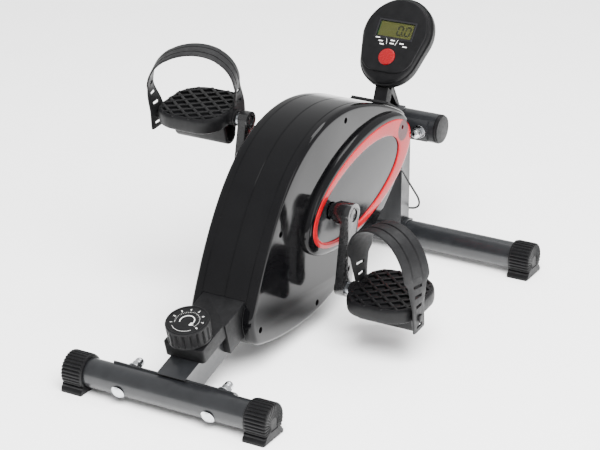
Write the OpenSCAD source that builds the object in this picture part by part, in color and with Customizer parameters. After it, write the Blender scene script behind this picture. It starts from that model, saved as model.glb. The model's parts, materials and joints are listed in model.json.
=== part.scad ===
// Desk-side pedal exerciser: inclined main tube on two round cross feet, a closed casing with a
// belt-driven magnetic flywheel, two free-swinging pedals and a small display on a bracket.
// X runs across the machine, Y from the user's end to the rear, Z up. The origin is on the floor
// midway between the two feet.

/* [Feet] */
// Distance between the axes of the two foot tubes
foot_span = 600; // [560:1:640]
// Radius of the foot tubes
foot_r = 19; // [17:0.5:21]
// Height of the foot tube axes above the floor
foot_h = 24.5; // [24:0.5:28]
// Length of the front foot over its end caps
front_foot_l = 300; // [260:1:340]
// Length of the rear foot over its end caps
rear_foot_l = 454; // [400:1:500]
// Length of one foot end cap
cap_l = 32; // [26:1:40]

/* [Main frame] */
// Angle of the main tube above the floor
tube_angle = 16.5; // [15.5:0.5:17.5]
// Width of the main tube
tube_w = 42; // [38:1:44]
// Height of the main tube
tube_t = 37; // [34:1:38]
// Width of the rear post
post_w = 40; // [34:1:42]
// Depth of the rear post
post_d = 26; // [22:1:28]
// Radius of the cross tube on the post
bar_r = 21; // [20:0.5:22]
// Length of the cross tube over its end plugs
bar_l = 154; // [144:1:170]
// Height of the cross tube axis above the floor
bar_z = 194; // [192:1:196]

/* [Casing] */
// Width over the two casing halves
casing_w = 93.4; // [92:0.2:96]
// Wall thickness of the casing
casing_wall = 2.6; // [2:0.1:3.2]
// Thickness of the oval side disc
disc_t = 9.5; // [8:0.5:11]

/* [Crank and pedals] */
// Radius of the crank
crank_r = 98; // [92:1:102]
// Angle of the crank from straight down at rest
crank_angle = -10.5; // [-20:0.5:0]
// Height of the crank axle above the floor
axle_z = 169; // [167:1:171]
// Distance of the crank axle behind the middle of the feet
axle_back = 11; // [9:1:13]
// Distance from the middle plane to the outer face of a crank arm
arm_face_x = 90; // [88:0.5:92]
// Height of the left strap above its pedal spindle
left_strap_h = 93; // [84:1:100]
// Height of the right strap above its pedal spindle
right_strap_h = 106; // [90:1:110]
// Pitch of both pedals at rest, rear edge up
pedal_pitch = 5; // [-5:1:8]

/* [Drive] */
// Radius of the drive pulley on the crank
pulley_r = 92; // [84:1:94]
// Radius of the flywheel
flywheel_r = 61; // [54:1:62]
// Thickness of the flywheel
flywheel_t = 13; // [9:1:14]

/* [Knob] */
// Radius of the tension knob
knob_r = 28.6; // [24:0.2:30]
// Height of the tension knob
knob_h = 27; // [20:1:28]

/* [Display] */
// Lean of the display face back from upright
face_lean = 40; // [36:1:44]
// Depth of the display head behind its face
head_d = 36; // [30:1:38]

/* [Hidden] */

fit = 0.05;         // radial clearance of a running fit
seat = 0.02;        // gap between parts that are seated on each other
round_fn = 96;
fine_fn = 48;

mid_y = -16;        // middle of the feet, behind the user's end of the display by this much
front_y = mid_y - foot_span / 2;
rear_y = mid_y + foot_span / 2;
tube_lift = 2;      // main tube's axis above the middle of the front foot, across the tube
plate_t = 3;
plate_in = foot_r + seat;
plate_out = plate_in + plate_t;
bolt_r = 4;
bolt_hole_r = 4.3;
front_bolt_angle = 22;  // lean of the front bolts above level
front_bolt_x = 66;
bar_bolt_x = 52;
knob_y = 64.5;      // knob's axis, measured along the main tube
bar_plate_in = bar_r + seat;
bar_plate_out = bar_plate_in + plate_t;

// One point of a cubic curve through a list of four control points, t from 0 to 1
function cubic(p, t) = pow(1 - t, 3) * p[0] + 3 * pow(1 - t, 2) * t * p[1]
    + 3 * (1 - t) * t * t * p[2] + t * t * t * p[3];
function curve(p, n) = [for (i = [0:n - 1]) cubic(p, i / n)];

// Side outline of the casing, as (y, z): front, top, rear end, underside and toe
casing_outline = concat(
    curve([[-181, 78], [-135, 189], [-74, 292], [56, 292]], 14),
    curve([[56, 292], [120, 292], [200, 258], [247, 231]], 8),
    curve([[247, 231], [244, 200], [240, 176], [233, 154]], 3),
    curve([[233, 154], [185, 100], [70, 28], [-39, 26]], 9),
    curve([[-39, 26], [-85, 25], [-135, 32], [-170, 44]], 5),
    [[-170, 44]]);

module casing_profile(inset) {
    translate([mid_y, 0]) offset(delta = -inset) polygon(casing_outline);
}

// Turns a (y, z) outline into a slab between two x positions
module slab(x0, x1) {
    translate([x0, 0, 0]) rotate([90, 0, 90]) linear_extrude(x1 - x0) children();
}

module x_rod(r, x0, x1, fn = round_fn) {
    translate([x0, 0, 0]) rotate([0, 90, 0]) cylinder(r = r, h = x1 - x0, $fn = fn);
}

module x_ring(r_out, r_in, x0, x1, fn = round_fn) {
    difference() {
        x_rod(r_out, x0, x1, fn);
        x_rod(r_in, x0 - 1, x1 + 1, fn);
    }
}

// Local frame of the main tube: y along the tube, z out of its top face
module on_main_tube() {
    translate([0, front_y, foot_h]) rotate([tube_angle, 0, 0]) translate([0, 0, tube_lift]) children();
}

// ---------------------------------------------------------------- feet

module foot_tube(length, bolts) {
    difference() {
        x_ring(foot_r, foot_r - 1.6, -length / 2, length / 2);
        if (bolts) for (x = [-front_bolt_x, front_bolt_x])
            translate([x, 0, 0]) rotate([front_bolt_angle - 90, 0, 0])
                translate([0, 0, -foot_r - 4]) cylinder(r = bolt_hole_r, h = 2 * foot_r + 8, $fn = fine_fn);
    }
}

module front_foot_tube() {
    color("#4b4c4f") translate([0, front_y, foot_h]) foot_tube(front_foot_l - 8, true);
}

module rear_foot_tube() {
    color("#4b4c4f") translate([0, rear_y, foot_h]) foot_tube(rear_foot_l - 8, false);
}

// Part of a thick-walled pipe along X, kept where it faces the direction angle (from +Y up)
module saddle(r_in, r_out, half_l, angle, spread) {
    intersection() {
        x_ring(r_out, r_in, -half_l, half_l);
        rotate([angle, 0, 0]) slab(-half_l, half_l)
            polygon([[0, 0], [60, -60 * tan(spread)], [60, 60 * tan(spread)]]);
    }
}

module front_saddle_plate() {
    color("#4b4c4f") translate([0, front_y, foot_h]) difference() {
        saddle(plate_in, plate_out, 88, tube_angle, 52);
        for (x = [-front_bolt_x, front_bolt_x])
            translate([x, 0, 0]) rotate([front_bolt_angle - 90, 0, 0])
                cylinder(r = bolt_hole_r, h = 60, $fn = fine_fn);
    }
}

module rear_saddle_plate() {
    color("#4b4c4f") translate([0, rear_y, foot_h]) saddle(plate_in, plate_out, 27, 90, 40);
}

module cross_tube_saddle_plate() {
    color("#4b4c4f") translate([0, rear_y, bar_z]) difference() {
        saddle(bar_plate_in, bar_plate_out, 62, 180, 42);
        for (x = [-bar_bolt_x, bar_bolt_x])
            translate([x, 0, 0]) rotate([90, 0, 0]) cylinder(r = bolt_hole_r, h = 60, $fn = fine_fn);
    }
}

// Ribbed cap with a flat-bottomed sole, its closed end facing +X, centred on the foot axis
module foot_cap() {
    ribs = 30;
    cap_r = 22.9;
    rib = 0.9;
    sole_w = 48;
    sole_h = 9;
    difference() {
        union() {
            slab(0, cap_l) polygon([for (i = [0:4 * ribs - 1])
                let (a = 360 * i / (4 * ribs), r = cap_r + (i % 4 < 2 ? rib : 0)) [r * cos(a), r * sin(a)]]);
            translate([0, 0, -foot_h]) slab(0, cap_l) polygon([[-sole_w / 2, 0], [sole_w / 2, 0],
                [sole_w / 2 - 1, 4], [14, sole_h + 3], [-14, sole_h + 3], [-sole_w / 2 + 1, 4]]);
        }
        x_rod(foot_r + seat, -1, cap_l - 4);
        for (y = [-18:9:18]) translate([-1, y - 1.5, -foot_h - 1]) cube([cap_l + 2, 3, 2.5]);
    }
}

module placed_cap(side, y, length) {
    color("#161617") translate([side * (length / 2 - cap_l), y, foot_h])
        if (side > 0) foot_cap(); else mirror([1, 0, 0]) foot_cap();
}

module front_left_foot_cap() { placed_cap(-1, front_y, front_foot_l); }
module front_right_foot_cap() { placed_cap(1, front_y, front_foot_l); }
module rear_left_foot_cap() { placed_cap(-1, rear_y, rear_foot_l); }
module rear_right_foot_cap() { placed_cap(1, rear_y, rear_foot_l); }

// ---------------------------------------------------------------- bolts

// Puts its children at each frame bolt: local z runs along the bolt towards its nut,
// and 0 is the outer face of the saddle plate
module at_bolts() {
    for (x = [-front_bolt_x, front_bolt_x])
        translate([x, front_y, foot_h]) rotate([front_bolt_angle - 90, 0, 0])
            translate([0, 0, plate_out]) children();
    for (x = [-bar_bolt_x, bar_bolt_x])
        translate([x, rear_y, bar_z]) rotate([90, 0, 0]) translate([0, 0, bar_plate_out]) children();
}

module bolt_body(tube_r) {
    head_z = -plate_t - seat - 2 * tube_r;
    translate([0, 0, head_z - 2]) cylinder(r = bolt_r, h = 2 * tube_r + plate_t + 16, $fn = fine_fn);
    translate([0, 0, head_z - 0.6]) intersection() {
        translate([0, 0, 9]) sphere(r = 13.2, $fn = fine_fn);
        translate([0, 0, -6]) cylinder(r = 9.5, h = 6, $fn = fine_fn);
    }
}

module carriage_bolts() {
    color("#c9ccd0") {
        for (x = [-front_bolt_x, front_bolt_x])
            translate([x, front_y, foot_h]) rotate([front_bolt_angle - 90, 0, 0])
                translate([0, 0, plate_out]) bolt_body(foot_r);
        for (x = [-bar_bolt_x, bar_bolt_x])
            translate([x, rear_y, bar_z]) rotate([90, 0, 0]) translate([0, 0, bar_plate_out]) bolt_body(bar_r);
    }
}

module bolt_washers() {
    color("#c9ccd0") at_bolts() translate([0, 0, seat]) difference() {
        cylinder(r = 9.5, h = 1.8, $fn = fine_fn);
        translate([0, 0, -1]) cylinder(r = bolt_hole_r, h = 4, $fn = fine_fn);
    }
}

module cap_nuts() {
    color("#d4d6d9") at_bolts() translate([0, 0, 1.8 + 2 * seat]) difference() {
        union() {
            cylinder(r = 7.5, h = 6.5, $fn = 6);
            cylinder(r = 6.2, h = 10.5, $fn = fine_fn);
            translate([0, 0, 10.5]) sphere(r = 6.2, $fn = fine_fn);
        }
        translate([0, 0, -1]) cylinder(r = bolt_r + seat, h = 14, $fn = fine_fn);
    }
}

// ---------------------------------------------------------------- frame

module main_tube() {
    reach = (rear_y - front_y) / cos(tube_angle);
    wall = 2;
    color("#4b4c4f") difference() {
        on_main_tube() difference() {
            translate([-tube_w / 2, 0, -tube_t / 2]) cube([tube_w, reach, tube_t]);
            translate([-tube_w / 2 + wall, -1, -tube_t / 2 + wall])
                cube([tube_w - 2 * wall, reach + 2, tube_t - 2 * wall]);
        }
        translate([0, front_y, foot_h]) x_rod(plate_out + seat, -60, 60);
        translate([0, rear_y, bar_z]) x_rod(bar_plate_out + seat, -60, 60);
        translate([-60, rear_y - 6, 0]) cube([120, 60, 300]);
    }
}

module rear_post() {
    wall = 2;
    top = 210;
    color("#4b4c4f") difference() {
        translate([-post_w / 2, rear_y - post_d / 2, foot_h]) difference() {
            cube([post_w, post_d, top]);
            translate([wall, wall, -1]) cube([post_w - 2 * wall, post_d - 2 * wall, top + 2]);
        }
        translate([0, rear_y, foot_h]) x_rod(plate_out + seat, -60, 60);
        translate([0, rear_y, bar_z]) x_rod(bar_plate_out + 0.3, -60, 60);
        translate([-60, 0, bar_z]) cube([120, 400, 100]);
        on_main_tube() translate([-60, 0, -tube_t / 2 - 0.3]) cube([120, 800, tube_t + 60]);
        translate([lead_exit[0], rear_y, lead_exit[2]]) rotate([-90, 0, 0])
            cylinder(r = grommet_r, h = 40, $fn = fine_fn);
    }
}

module cross_tube() {
    half = bar_l / 2 - 6;
    color("#4b4c4f") translate([0, rear_y, bar_z]) difference() {
        x_ring(bar_r, bar_r - 1.6, -half, half);
        for (x = [-bar_bolt_x, bar_bolt_x])
            translate([x, 30, 0]) rotate([90, 0, 0]) cylinder(r = bolt_hole_r, h = 60, $fn = fine_fn);
    }
}

module end_plug() {
    seat_x = bar_l / 2 - 6;
    x_rod(bar_r - 1.6 - seat, seat_x - 14, seat_x + 1);
    x_rod(bar_r, seat_x + seat, seat_x + 3.5);
    x_rod(bar_r - 1.2, seat_x + 3.5, seat_x + 6);
}

module cross_tube_plugs() {
    color("#19191b") translate([0, rear_y, bar_z]) {
        end_plug();
        mirror([1, 0, 0]) end_plug();
    }
}

// Bearing housing of the crank, carried over the main tube by two cheek plates
bb_r = 20;
bb_half = 23;
bearing_out = 16;
bearing_w = 9;
axle_r = 7.5;

module bottom_bracket() {
    color("#3a3b3d") difference() {
        union() {
            translate([0, axle_y, axle_z]) x_rod(bb_r, -bb_half, bb_half);
            for (x = [-17, 12]) intersection() {
                translate([x, axle_y - 30, axle_z - 60]) cube([5, 60, 60]);
                on_main_tube() translate([-60, 0, tube_t / 2 + seat]) cube([120, 700, 200]);
            }
        }
        translate([0, axle_y, axle_z]) {
            x_rod(bearing_out + seat, -bb_half - 1, -bb_half + bearing_w);
            x_rod(bearing_out + seat, bb_half - bearing_w, bb_half + 1);
            x_rod(bearing_out - 3, -bb_half - 1, bb_half + 1);
        }
    }
}

module bearing_pair(y, z, half, w, r_out, r_in) {
    translate([0, y, z]) for (x = [-half, half - w]) x_ring(r_out, r_in, x, x + w, fine_fn);
}

module crank_bearings() {
    color("#b9bcc0")
        bearing_pair(axle_y, axle_z, bb_half - seat, bearing_w - 2 * seat, bearing_out, axle_r + fit);
}

wheel_y = mid_y + 140;
wheel_z = 208;
wheel_bearing_out = 13;
wheel_bearing_w = 8;
shaft_r = 6;
housing_half = 21;

module flywheel_housing() {
    color("#3a3b3d") difference() {
        union() {
            translate([0, wheel_y, wheel_z]) x_rod(16.5, -housing_half, housing_half);
            for (x = [-15, 11]) intersection() {
                translate([x, wheel_y - 24, wheel_z - 60]) cube([4, 48, 60]);
                on_main_tube() translate([-60, 0, tube_t / 2 + seat]) cube([120, 700, 200]);
            }
        }
        translate([0, wheel_y, wheel_z]) {
            x_rod(wheel_bearing_out + seat, -housing_half - 1, -housing_half + wheel_bearing_w);
            x_rod(wheel_bearing_out + seat, housing_half - wheel_bearing_w, housing_half + 1);
            x_rod(wheel_bearing_out - 3, -housing_half - 1, housing_half + 1);
        }
    }
}

module flywheel_bearings() {
    color("#b9bcc0") bearing_pair(wheel_y, wheel_z, housing_half - seat, wheel_bearing_w - 2 * seat,
        wheel_bearing_out, shaft_r + fit);
}

// ---------------------------------------------------------------- crank

arm_t = 12;
axle_half = arm_face_x - 4;
belt_x0 = 28;
belt_x1 = 34;
axle_y = mid_y + axle_back;
taper_half = 5.6;   // half width of the square ends of the axle

// Spindle position of the right pedal, as (y, z) from the axle, and the left is opposite
spindle_dy = crank_r * sin(crank_angle);
spindle_dz = -crank_r * cos(crank_angle);

module crank_axle() {
    color("#8f9296") translate([0, axle_y, axle_z]) rotate([crank_angle, 0, 0]) {
        x_rod(axle_r, -66, 66);
        for (x = [-axle_half, 66]) translate([x, -taper_half, -taper_half])
            cube([axle_half - 66, 2 * taper_half, 2 * taper_half]);
    }
}

// Flat bar arm for the right side, from the axle straight down before it is turned
module crank_arm() {
    in_x = arm_face_x - arm_t;
    difference() {
        union() {
            x_rod(16, 68, arm_face_x);
            slab(in_x, arm_face_x) hull() {
                circle(r = 14, $fn = fine_fn);
                translate([0, -crank_r]) circle(r = 12.5, $fn = fine_fn);
            }
            translate([0, 0, -crank_r]) x_rod(12.5, in_x - 1, arm_face_x + 1);
        }
        translate([67, -taper_half - seat, -taper_half - seat])
            cube([axle_half - 67 + 0.3, 2 * (taper_half + seat), 2 * (taper_half + seat)]);
        x_rod(4 + seat, 68, arm_face_x + 1, fine_fn);
        x_rod(9, arm_face_x - 3.5, arm_face_x + 1, fine_fn);
        translate([0, 0, -crank_r]) x_rod(6 + seat, in_x - 3, arm_face_x + 3, fine_fn);
    }
}

module right_crank_arm() {
    color("#101011") translate([0, axle_y, axle_z]) rotate([crank_angle, 0, 0]) crank_arm();
}

module left_crank_arm() {
    color("#101011") translate([0, axle_y, axle_z]) rotate([crank_angle + 180, 0, 0])
        mirror([1, 0, 0]) crank_arm();
}

module crank_bolts() {
    color("#101011") translate([0, axle_y, axle_z]) for (side = [-1, 1])
        translate([side * (arm_face_x - 3.4), 0, 0]) rotate([0, side * 90, 0])
            cylinder(r = 8.8, h = 2.2, $fn = fine_fn);
}

module drive_pulley() {
    color("#2a2b2d") translate([0, axle_y, axle_z]) difference() {
        union() {
            x_rod(pulley_r, belt_x0, belt_x1);
            x_rod(pulley_r + 3, belt_x0 - 1.6, belt_x0);
            x_rod(pulley_r + 3, belt_x1, belt_x1 + 1.6);
            x_rod(18, 25, 39);
        }
        x_rod(axle_r + seat, 20, 50);
        for (a = [30:60:330]) rotate([a, 0, 0]) translate([0, 0, 55]) x_rod(17, 20, 50);
    }
}

module pedal_spindles() {
    color("#8f9296") for (side = [-1, 1])
        translate([0, axle_y + side * spindle_dy, axle_z + side * spindle_dz])
            if (side > 0) spindle(); else mirror([1, 0, 0]) spindle();
}

spindle_r = 5;
module spindle() {
    x_rod(6, arm_face_x - arm_t, arm_face_x + 1, fine_fn);
    x_rod(8.5, arm_face_x + 1.1, arm_face_x + 6, fine_fn);
    x_rod(spindle_r, arm_face_x, 188, fine_fn);
}

// ---------------------------------------------------------------- pedals

tread_x0 = 106;     // inner and outer sides of the pedal platform
tread_x1 = 207;
tread_half = 53;    // half length of the platform along Y
tread_top = 12;     // platform faces above and below the spindle
tread_low = -9;
keel_z = -26;
keel_r = 14;
strap_t = 2.6;
inner_leg_y = 14;   // middle of the strap's inner and outer legs along Y
outer_leg_y = -27;
leg_half = 15.5;    // half widths of the legs and of the band over the foot
band_half = 21.5;
inner_lug = [20, -6];   // middles of the two lugs that hold the legs, as (y, z)
outer_lug = [-27, -2];

module platform_outline() {
    intersection() {
        translate([tread_x0, -tread_half]) square([tread_x1 - tread_x0, 2 * tread_half]);
        hull() for (y = [-1, 1]) {
            translate([tread_x0 + 30, y * (tread_half - 30)]) circle(r = 30, $fn = 48);
            translate([tread_x1 - 38, y * (tread_half - 38)]) circle(r = 38, $fn = 48);
        }
    }
}

// Pedal for the right side, with its spindle axis at the origin
module pedal() {
    difference() {
        union() {
            translate([0, 0, tread_low]) linear_extrude(tread_top - tread_low) platform_outline();
            x_rod(11, 97.5, tread_x0 + 10);
            slab(110, 192) hull() {
                translate([0, keel_z]) circle(r = keel_r, $fn = 32);
                translate([-keel_r - 4, tread_low]) square([2 * keel_r + 8, 1]);
            }
            translate([tread_x1 - 8, outer_lug[0] - 4, outer_lug[1] - 3]) cube([14, 8, 6]);
            translate([tread_x0 - 5, inner_lug[0] - 3, inner_lug[1] - 3]) cube([9, 6, 6]);
        }
        x_rod(spindle_r + fit, 90, 189);
        for (x = [tread_x0 + 16:16:tread_x1 - 14], y = [-tread_half + 14:15:tread_half - 10])
            translate([x, y, tread_top - 2.4]) rotate([0, 0, 45])
                translate([-3.4, -3.4, 0]) cube([6.8, 6.8, 4]);
    }
}

function smooth_step(t) = let (k = max(0, min(1, t))) k * k * (3 - 2 * k);

// Middle line of the strap, as (x, z): up the inner leg, over the arch and down the outer leg.
// bulge is how far the arch leans out past the inner and outer legs.
strap_xi = tread_x0 - strap_t / 2 - 0.4;
strap_xo = tread_x1 + strap_t / 2 + 0.7;
function strap_path(h, bulge, n = 28) = let (xm = (strap_xi + strap_xo) / 2, a = (strap_xo - strap_xi) / 2,
        z0 = h * 0.42)
    concat([[strap_xi, -14], [strap_xi, 4], [strap_xi - bulge[0] / 2, z0 / 2]],
        [for (i = [0:n]) let (t = 180 - 180 * i / n)
            [xm + (a + bulge[2 * i < n ? 0 : 1]) * cos(t), z0 + (h - z0 - strap_t / 2) * pow(sin(t), 0.9)]],
        [[strap_xo + bulge[1] * 0.7, z0 / 2], [strap_xo, 4], [strap_xo, -21]]);

// The band crosses the foot at a skew, so its width turns away from Y above the legs
function strap_y(x) = inner_leg_y + (outer_leg_y - inner_leg_y) * (x - strap_xi) / (strap_xo - strap_xi);
function strap_turn(z, h) = atan2(inner_leg_y - outer_leg_y, strap_xo - strap_xi)
    * smooth_step((z - 8) / (0.4 * h));
function strap_half(z, h) = leg_half + (band_half - leg_half) * smooth_step((z / h - 0.36) / 0.2);

// Thin band that follows the path: four corners a ring, capped at both ends
module strap(h, bulge) {
    p = strap_path(h, bulge);
    n = len(p);
    normal = [for (i = [0:n - 1]) let (d = p[min(i + 1, n - 1)] - p[max(i - 1, 0)])
        [-d[1], d[0]] / norm(d) * strap_t / 2];
    points = [for (i = [0:n - 1]) let (y = strap_y(p[i][0]), t = strap_turn(p[i][1], h),
            w = strap_half(p[i][1], h) * [sin(t), cos(t)], o = p[i] + normal[i], q = p[i] - normal[i])
        each [[o[0] - w[0], y - w[1], o[1]], [o[0] + w[0], y + w[1], o[1]],
            [q[0] + w[0], y + w[1], q[1]], [q[0] - w[0], y - w[1], q[1]]]];
    sides = [for (i = [0:n - 2], k = [0:3]) let (a = 4 * i + k, b = 4 * i + (k + 1) % 4)
        each [[a, b, b + 4], [a, b + 4, a + 4]]];
    ends = [[3, 2, 1, 0], [4 * n - 4, 4 * n - 3, 4 * n - 2, 4 * n - 1]];
    difference() {
        polyhedron(points, concat(sides, ends), 4);
        x_rod(11.6, tread_x0 - 14, tread_x0 + 3);
        translate([strap_xo - 4, outer_leg_y - 7, -16]) cube([8, 14, 4]);
        translate([strap_xo - 4, outer_lug[0] - 4.4, outer_lug[1] - 3.4]) cube([8, 8.8, 6.8]);
        translate([strap_xi - 4, inner_lug[0] - 3.4, inner_lug[1] - 3.4]) cube([8, 6.8, 6.8]);
    }
}

module at_right_spindle() {
    translate([0, axle_y + spindle_dy, axle_z + spindle_dz]) rotate([pedal_pitch, 0, 0]) children();
}
module at_left_spindle() {
    translate([0, axle_y - spindle_dy, axle_z - spindle_dz]) rotate([pedal_pitch, 0, 0])
        mirror([1, 0, 0]) children();
}

module right_pedal() { color("#1b1b1d") at_right_spindle() pedal(); }
module left_pedal() { color("#1b1b1d") at_left_spindle() pedal(); }
module right_pedal_strap() { color("#3a3b3d") at_right_spindle() strap(right_strap_h, [2, -1]); }
module left_pedal_strap() { color("#3a3b3d") at_left_spindle() strap(left_strap_h, [0, 6]); }

// ---------------------------------------------------------------- drive

module flywheel_shaft() {
    color("#8f9296") translate([0, wheel_y, wheel_z]) x_rod(shaft_r, -41, 38);
}

module flywheel() {
    x0 = -26 - flywheel_t;
    color("#77797c") translate([0, wheel_y, wheel_z]) difference() {
        union() {
            x_rod(flywheel_r, x0, x0 + flywheel_t);
            x_rod(14, x0, -22);
        }
        x_rod(shaft_r + seat, x0 - 1, -20);
        x_rod(flywheel_r - 12, x0 + flywheel_t - 3, -26 + 1);
        for (a = [0:60:300]) rotate([a, 0, 0]) translate([0, 0, 32]) x_rod(8, x0 - 1, -20, fine_fn);
    }
    color("#77797c") translate([0, wheel_y, wheel_z]) x_ring(14, shaft_r + seat, -29, -22);
}

small_r = 12;
module belt_pulley() {
    color("#8f9296") translate([0, wheel_y, wheel_z]) difference() {
        union() {
            x_rod(small_r, belt_x0 - 4, belt_x1 + 3);
            x_rod(small_r + 3, belt_x0 - 1.6, belt_x0 - 0.2);
            x_rod(small_r + 3, belt_x1 + 0.2, belt_x1 + 1.6);
        }
        x_rod(shaft_r + seat, 20, 45);
    }
}

// Flat belt round both pulleys, with a little room under it
module drive_belt() {
    gap = 0.3;
    belt_t = 2;
    color("#1a1a1a") slab(belt_x0 + 0.4, belt_x1 - 0.4) difference() {
        belt_outline(gap + belt_t);
        belt_outline(gap);
    }
}

module belt_outline(grow) {
    hull() {
        translate([axle_y, axle_z]) circle(r = pulley_r + grow, $fn = 96);
        translate([wheel_y, wheel_z]) circle(r = small_r + grow, $fn = 48);
    }
}

// ---------------------------------------------------------------- magnetic brake

brake_in = flywheel_r + 6;      // inner radius of the magnet faces at rest
brake_x0 = -38;                 // the bracket's two sides along X
brake_x1 = -27;
pivot_y = mid_y + 80;
pivot_z = 150;
lever_y = pivot_y - 27;         // end of the arm that the spring pushes up
spring_base_z = 118;

// Sector of a ring round the flywheel's axis, between two angles from +Y
module wheel_sector(r_in, r_out, a0, a1, x0, x1) {
    steps = 10;
    translate([0, wheel_y, wheel_z]) intersection() {
        x_ring(r_out, r_in, x0, x1);
        slab(x0, x1) polygon(concat([[0, 0]],
            [for (i = [0:steps]) let (a = a0 + (a1 - a0) * i / steps) 120 * [cos(a), sin(a)]]));
    }
}

module lever_web(y, z, r) {
    slab(brake_x0, brake_x0 + 3) hull() {
        translate([pivot_y, pivot_z]) circle(r = 8, $fn = 32);
        translate([y, z]) circle(r = r, $fn = 32);
    }
}

module magnet_bracket() {
    rim = brake_in + 5.5;
    color("#9a9da1") difference() {
        union() {
            wheel_sector(brake_in + 4, brake_in + 7, 222, 318, brake_x0, brake_x1);
            translate([0, pivot_y, pivot_z]) x_rod(8, brake_x0, brake_x1);
            lever_web(wheel_y + rim * cos(228), wheel_z + rim * sin(228), 6);
            lever_web(lever_y, pivot_z, 5);
            lever_web(pivot_y - 4, pivot_z + 26, 4.5);
            translate([brake_x0 + 1, lever_y - 5, pivot_z - 5]) cube([12, 10, 3]);
            translate([0, pivot_y - 4, pivot_z + 26]) x_rod(4, brake_x0, brake_x0 + 7, fine_fn);
        }
        translate([0, pivot_y, pivot_z]) x_rod(4 + fit, brake_x0 - 5, brake_x1 + 5, fine_fn);
        translate([0, wheel_y, wheel_z]) x_rod(brake_in + 3.9, brake_x0 - 5, brake_x1 + 5);
    }
}

module brake_magnets() {
    color("#c0c3c7") for (a = [230, 256, 282])
        wheel_sector(brake_in, brake_in + 3.88, a, a + 20, brake_x0 + 1, brake_x1 - 1);
}

// Welded to the side of the main tube: the bracket's pivot pin, a shelf under the spring and a
// lug for the cable
module brake_anchor() {
    color("#3a3b3d") {
        translate([0, pivot_y, pivot_z]) {
            x_rod(4, -41, -tube_w / 2 - seat, fine_fn);
            x_rod(6.5, -41.5, brake_x0 - 0.4, fine_fn);
        }
        translate([brake_x0 + 1, lever_y - 6, spring_base_z - 3])
            cube([-tube_w / 2 - seat - brake_x0 - 1, 12, 3]);
        translate([brake_x0 + 1, lever_y - 26, spring_base_z - 3])
            cube([-tube_w / 2 - seat - brake_x0 - 1, 4, 26]);
        difference() {
            translate([brake_x0 + 1, lever_y - 26, spring_base_z + 20]) cube([12, 4, 43]);
            translate([brake_x0 + 6, lever_y - 30, pivot_z + 26]) rotate([-90, 0, 0])
                cylinder(r = 2.6, h = 12, $fn = fine_fn);
        }
    }
}

// Compression spring, as a stack of rings on the shelf under the bracket's arm. It has the length
// that it is pressed to with the brake full on, so the arm comes down to it and never into it
module brake_spring() {
    turns = 7;
    wire = 0.8;
    arm_stroke = 2.5;
    pressed_l = pivot_z - 5 - arm_stroke - spring_base_z;
    color("#b9bcc0") translate([brake_x0 + 7.7, lever_y, spring_base_z + 0.05])
        for (i = [0:turns]) translate([0, 0, wire + i * (pressed_l - 2 * wire) / turns])
            rotate_extrude($fn = 24) translate([3.6, 0]) circle(r = wire, $fn = 16);
}

// Tube swept along a list of points with a ring of eight corners at each
module swept(path, r) {
    sides = 8;
    n = len(path);
    dirs = [for (i = [0:n - 1]) let (d = path[min(i + 1, n - 1)] - path[max(i - 1, 0)]) d / norm(d)];
    across = [for (d = dirs) let (c = cross(d, abs(d[0]) > 0.9 ? [0, 0, 1] : [1, 0, 0])) c / norm(c)];
    points = [for (i = [0:n - 1], k = [0:sides - 1]) let (a = 360 * k / sides)
        path[i] + r * (cos(a) * across[i] + sin(a) * cross(dirs[i], across[i]))];
    walls = [for (i = [0:n - 2], k = [0:sides - 1])
        let (a = i * sides + k, b = i * sides + (k + 1) % sides)
            each [[a, b, b + sides], [a, b + sides, a + sides]]];
    ends = [[for (k = [sides - 1:-1:0]) k], [for (k = [0:sides - 1]) (n - 1) * sides + k]];
    polyhedron(points, concat(walls, ends), 4);
}

// Smooth run of points through a hand-laid route, a few to each stretch
function through(p, steps = 3) = concat([for (i = [0:len(p) - 2], s = [0:steps - 1])
    let (a = p[max(i - 1, 0)], b = p[i], c = p[i + 1], d = p[min(i + 2, len(p) - 1)], t = s / steps)
        0.5 * (2 * b + (c - a) * t + (2 * a - 5 * b + 4 * c - d) * t * t + (3 * b - a - 3 * c + d) * t * t * t)],
    [p[len(p) - 1]]);

// Point in the main tube's frame, as x, distance along the tube and height above its axis
function along(x, u, v) = [x, front_y + u * cos(tube_angle) - (v + tube_lift) * sin(tube_angle),
    foot_h + u * sin(tube_angle) + (v + tube_lift) * cos(tube_angle)];

// Route of the brake cable, from the drum under the knob, along the tube and over the crank axle
// to the lever
brake_route = concat([along(-14.4, knob_y, 29.8), along(-14.8, knob_y + 14, 29.5), along(-17, 100, 28),
    along(-19, 125, 26), along(-21, 147, 24.5), along(-26, 168, 24), along(-31, 186, 22), along(-33, 206, 20)],
    [for (p = [[-33, -70, 130], [-33, -35, 159], [-32.5, -8, 179], [-32, 10, 181], [-32, 20, 177.6],
        [-32, 26, 176.1], [-32, 33, 176], [-32, 45, 176], [-32, 70, 176]]) p + [0, mid_y, 0]]);

module brake_cable() {
    color("#141414") swept(through(brake_route), 2);
}

// ---------------------------------------------------------------- knob and its bracket

bracket_y0 = 43;    // along the main tube: the bracket's nose, its step and its rear end
bracket_y1 = 97;
bracket_y2 = 150;
bracket_w = 58;
skirt_w = 62;       // width of the rear part, which reaches into the casing beside the tube
skirt_low = -8;
bracket_h = 20;
bracket_wall = 3;
collar_r = 9;

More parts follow.
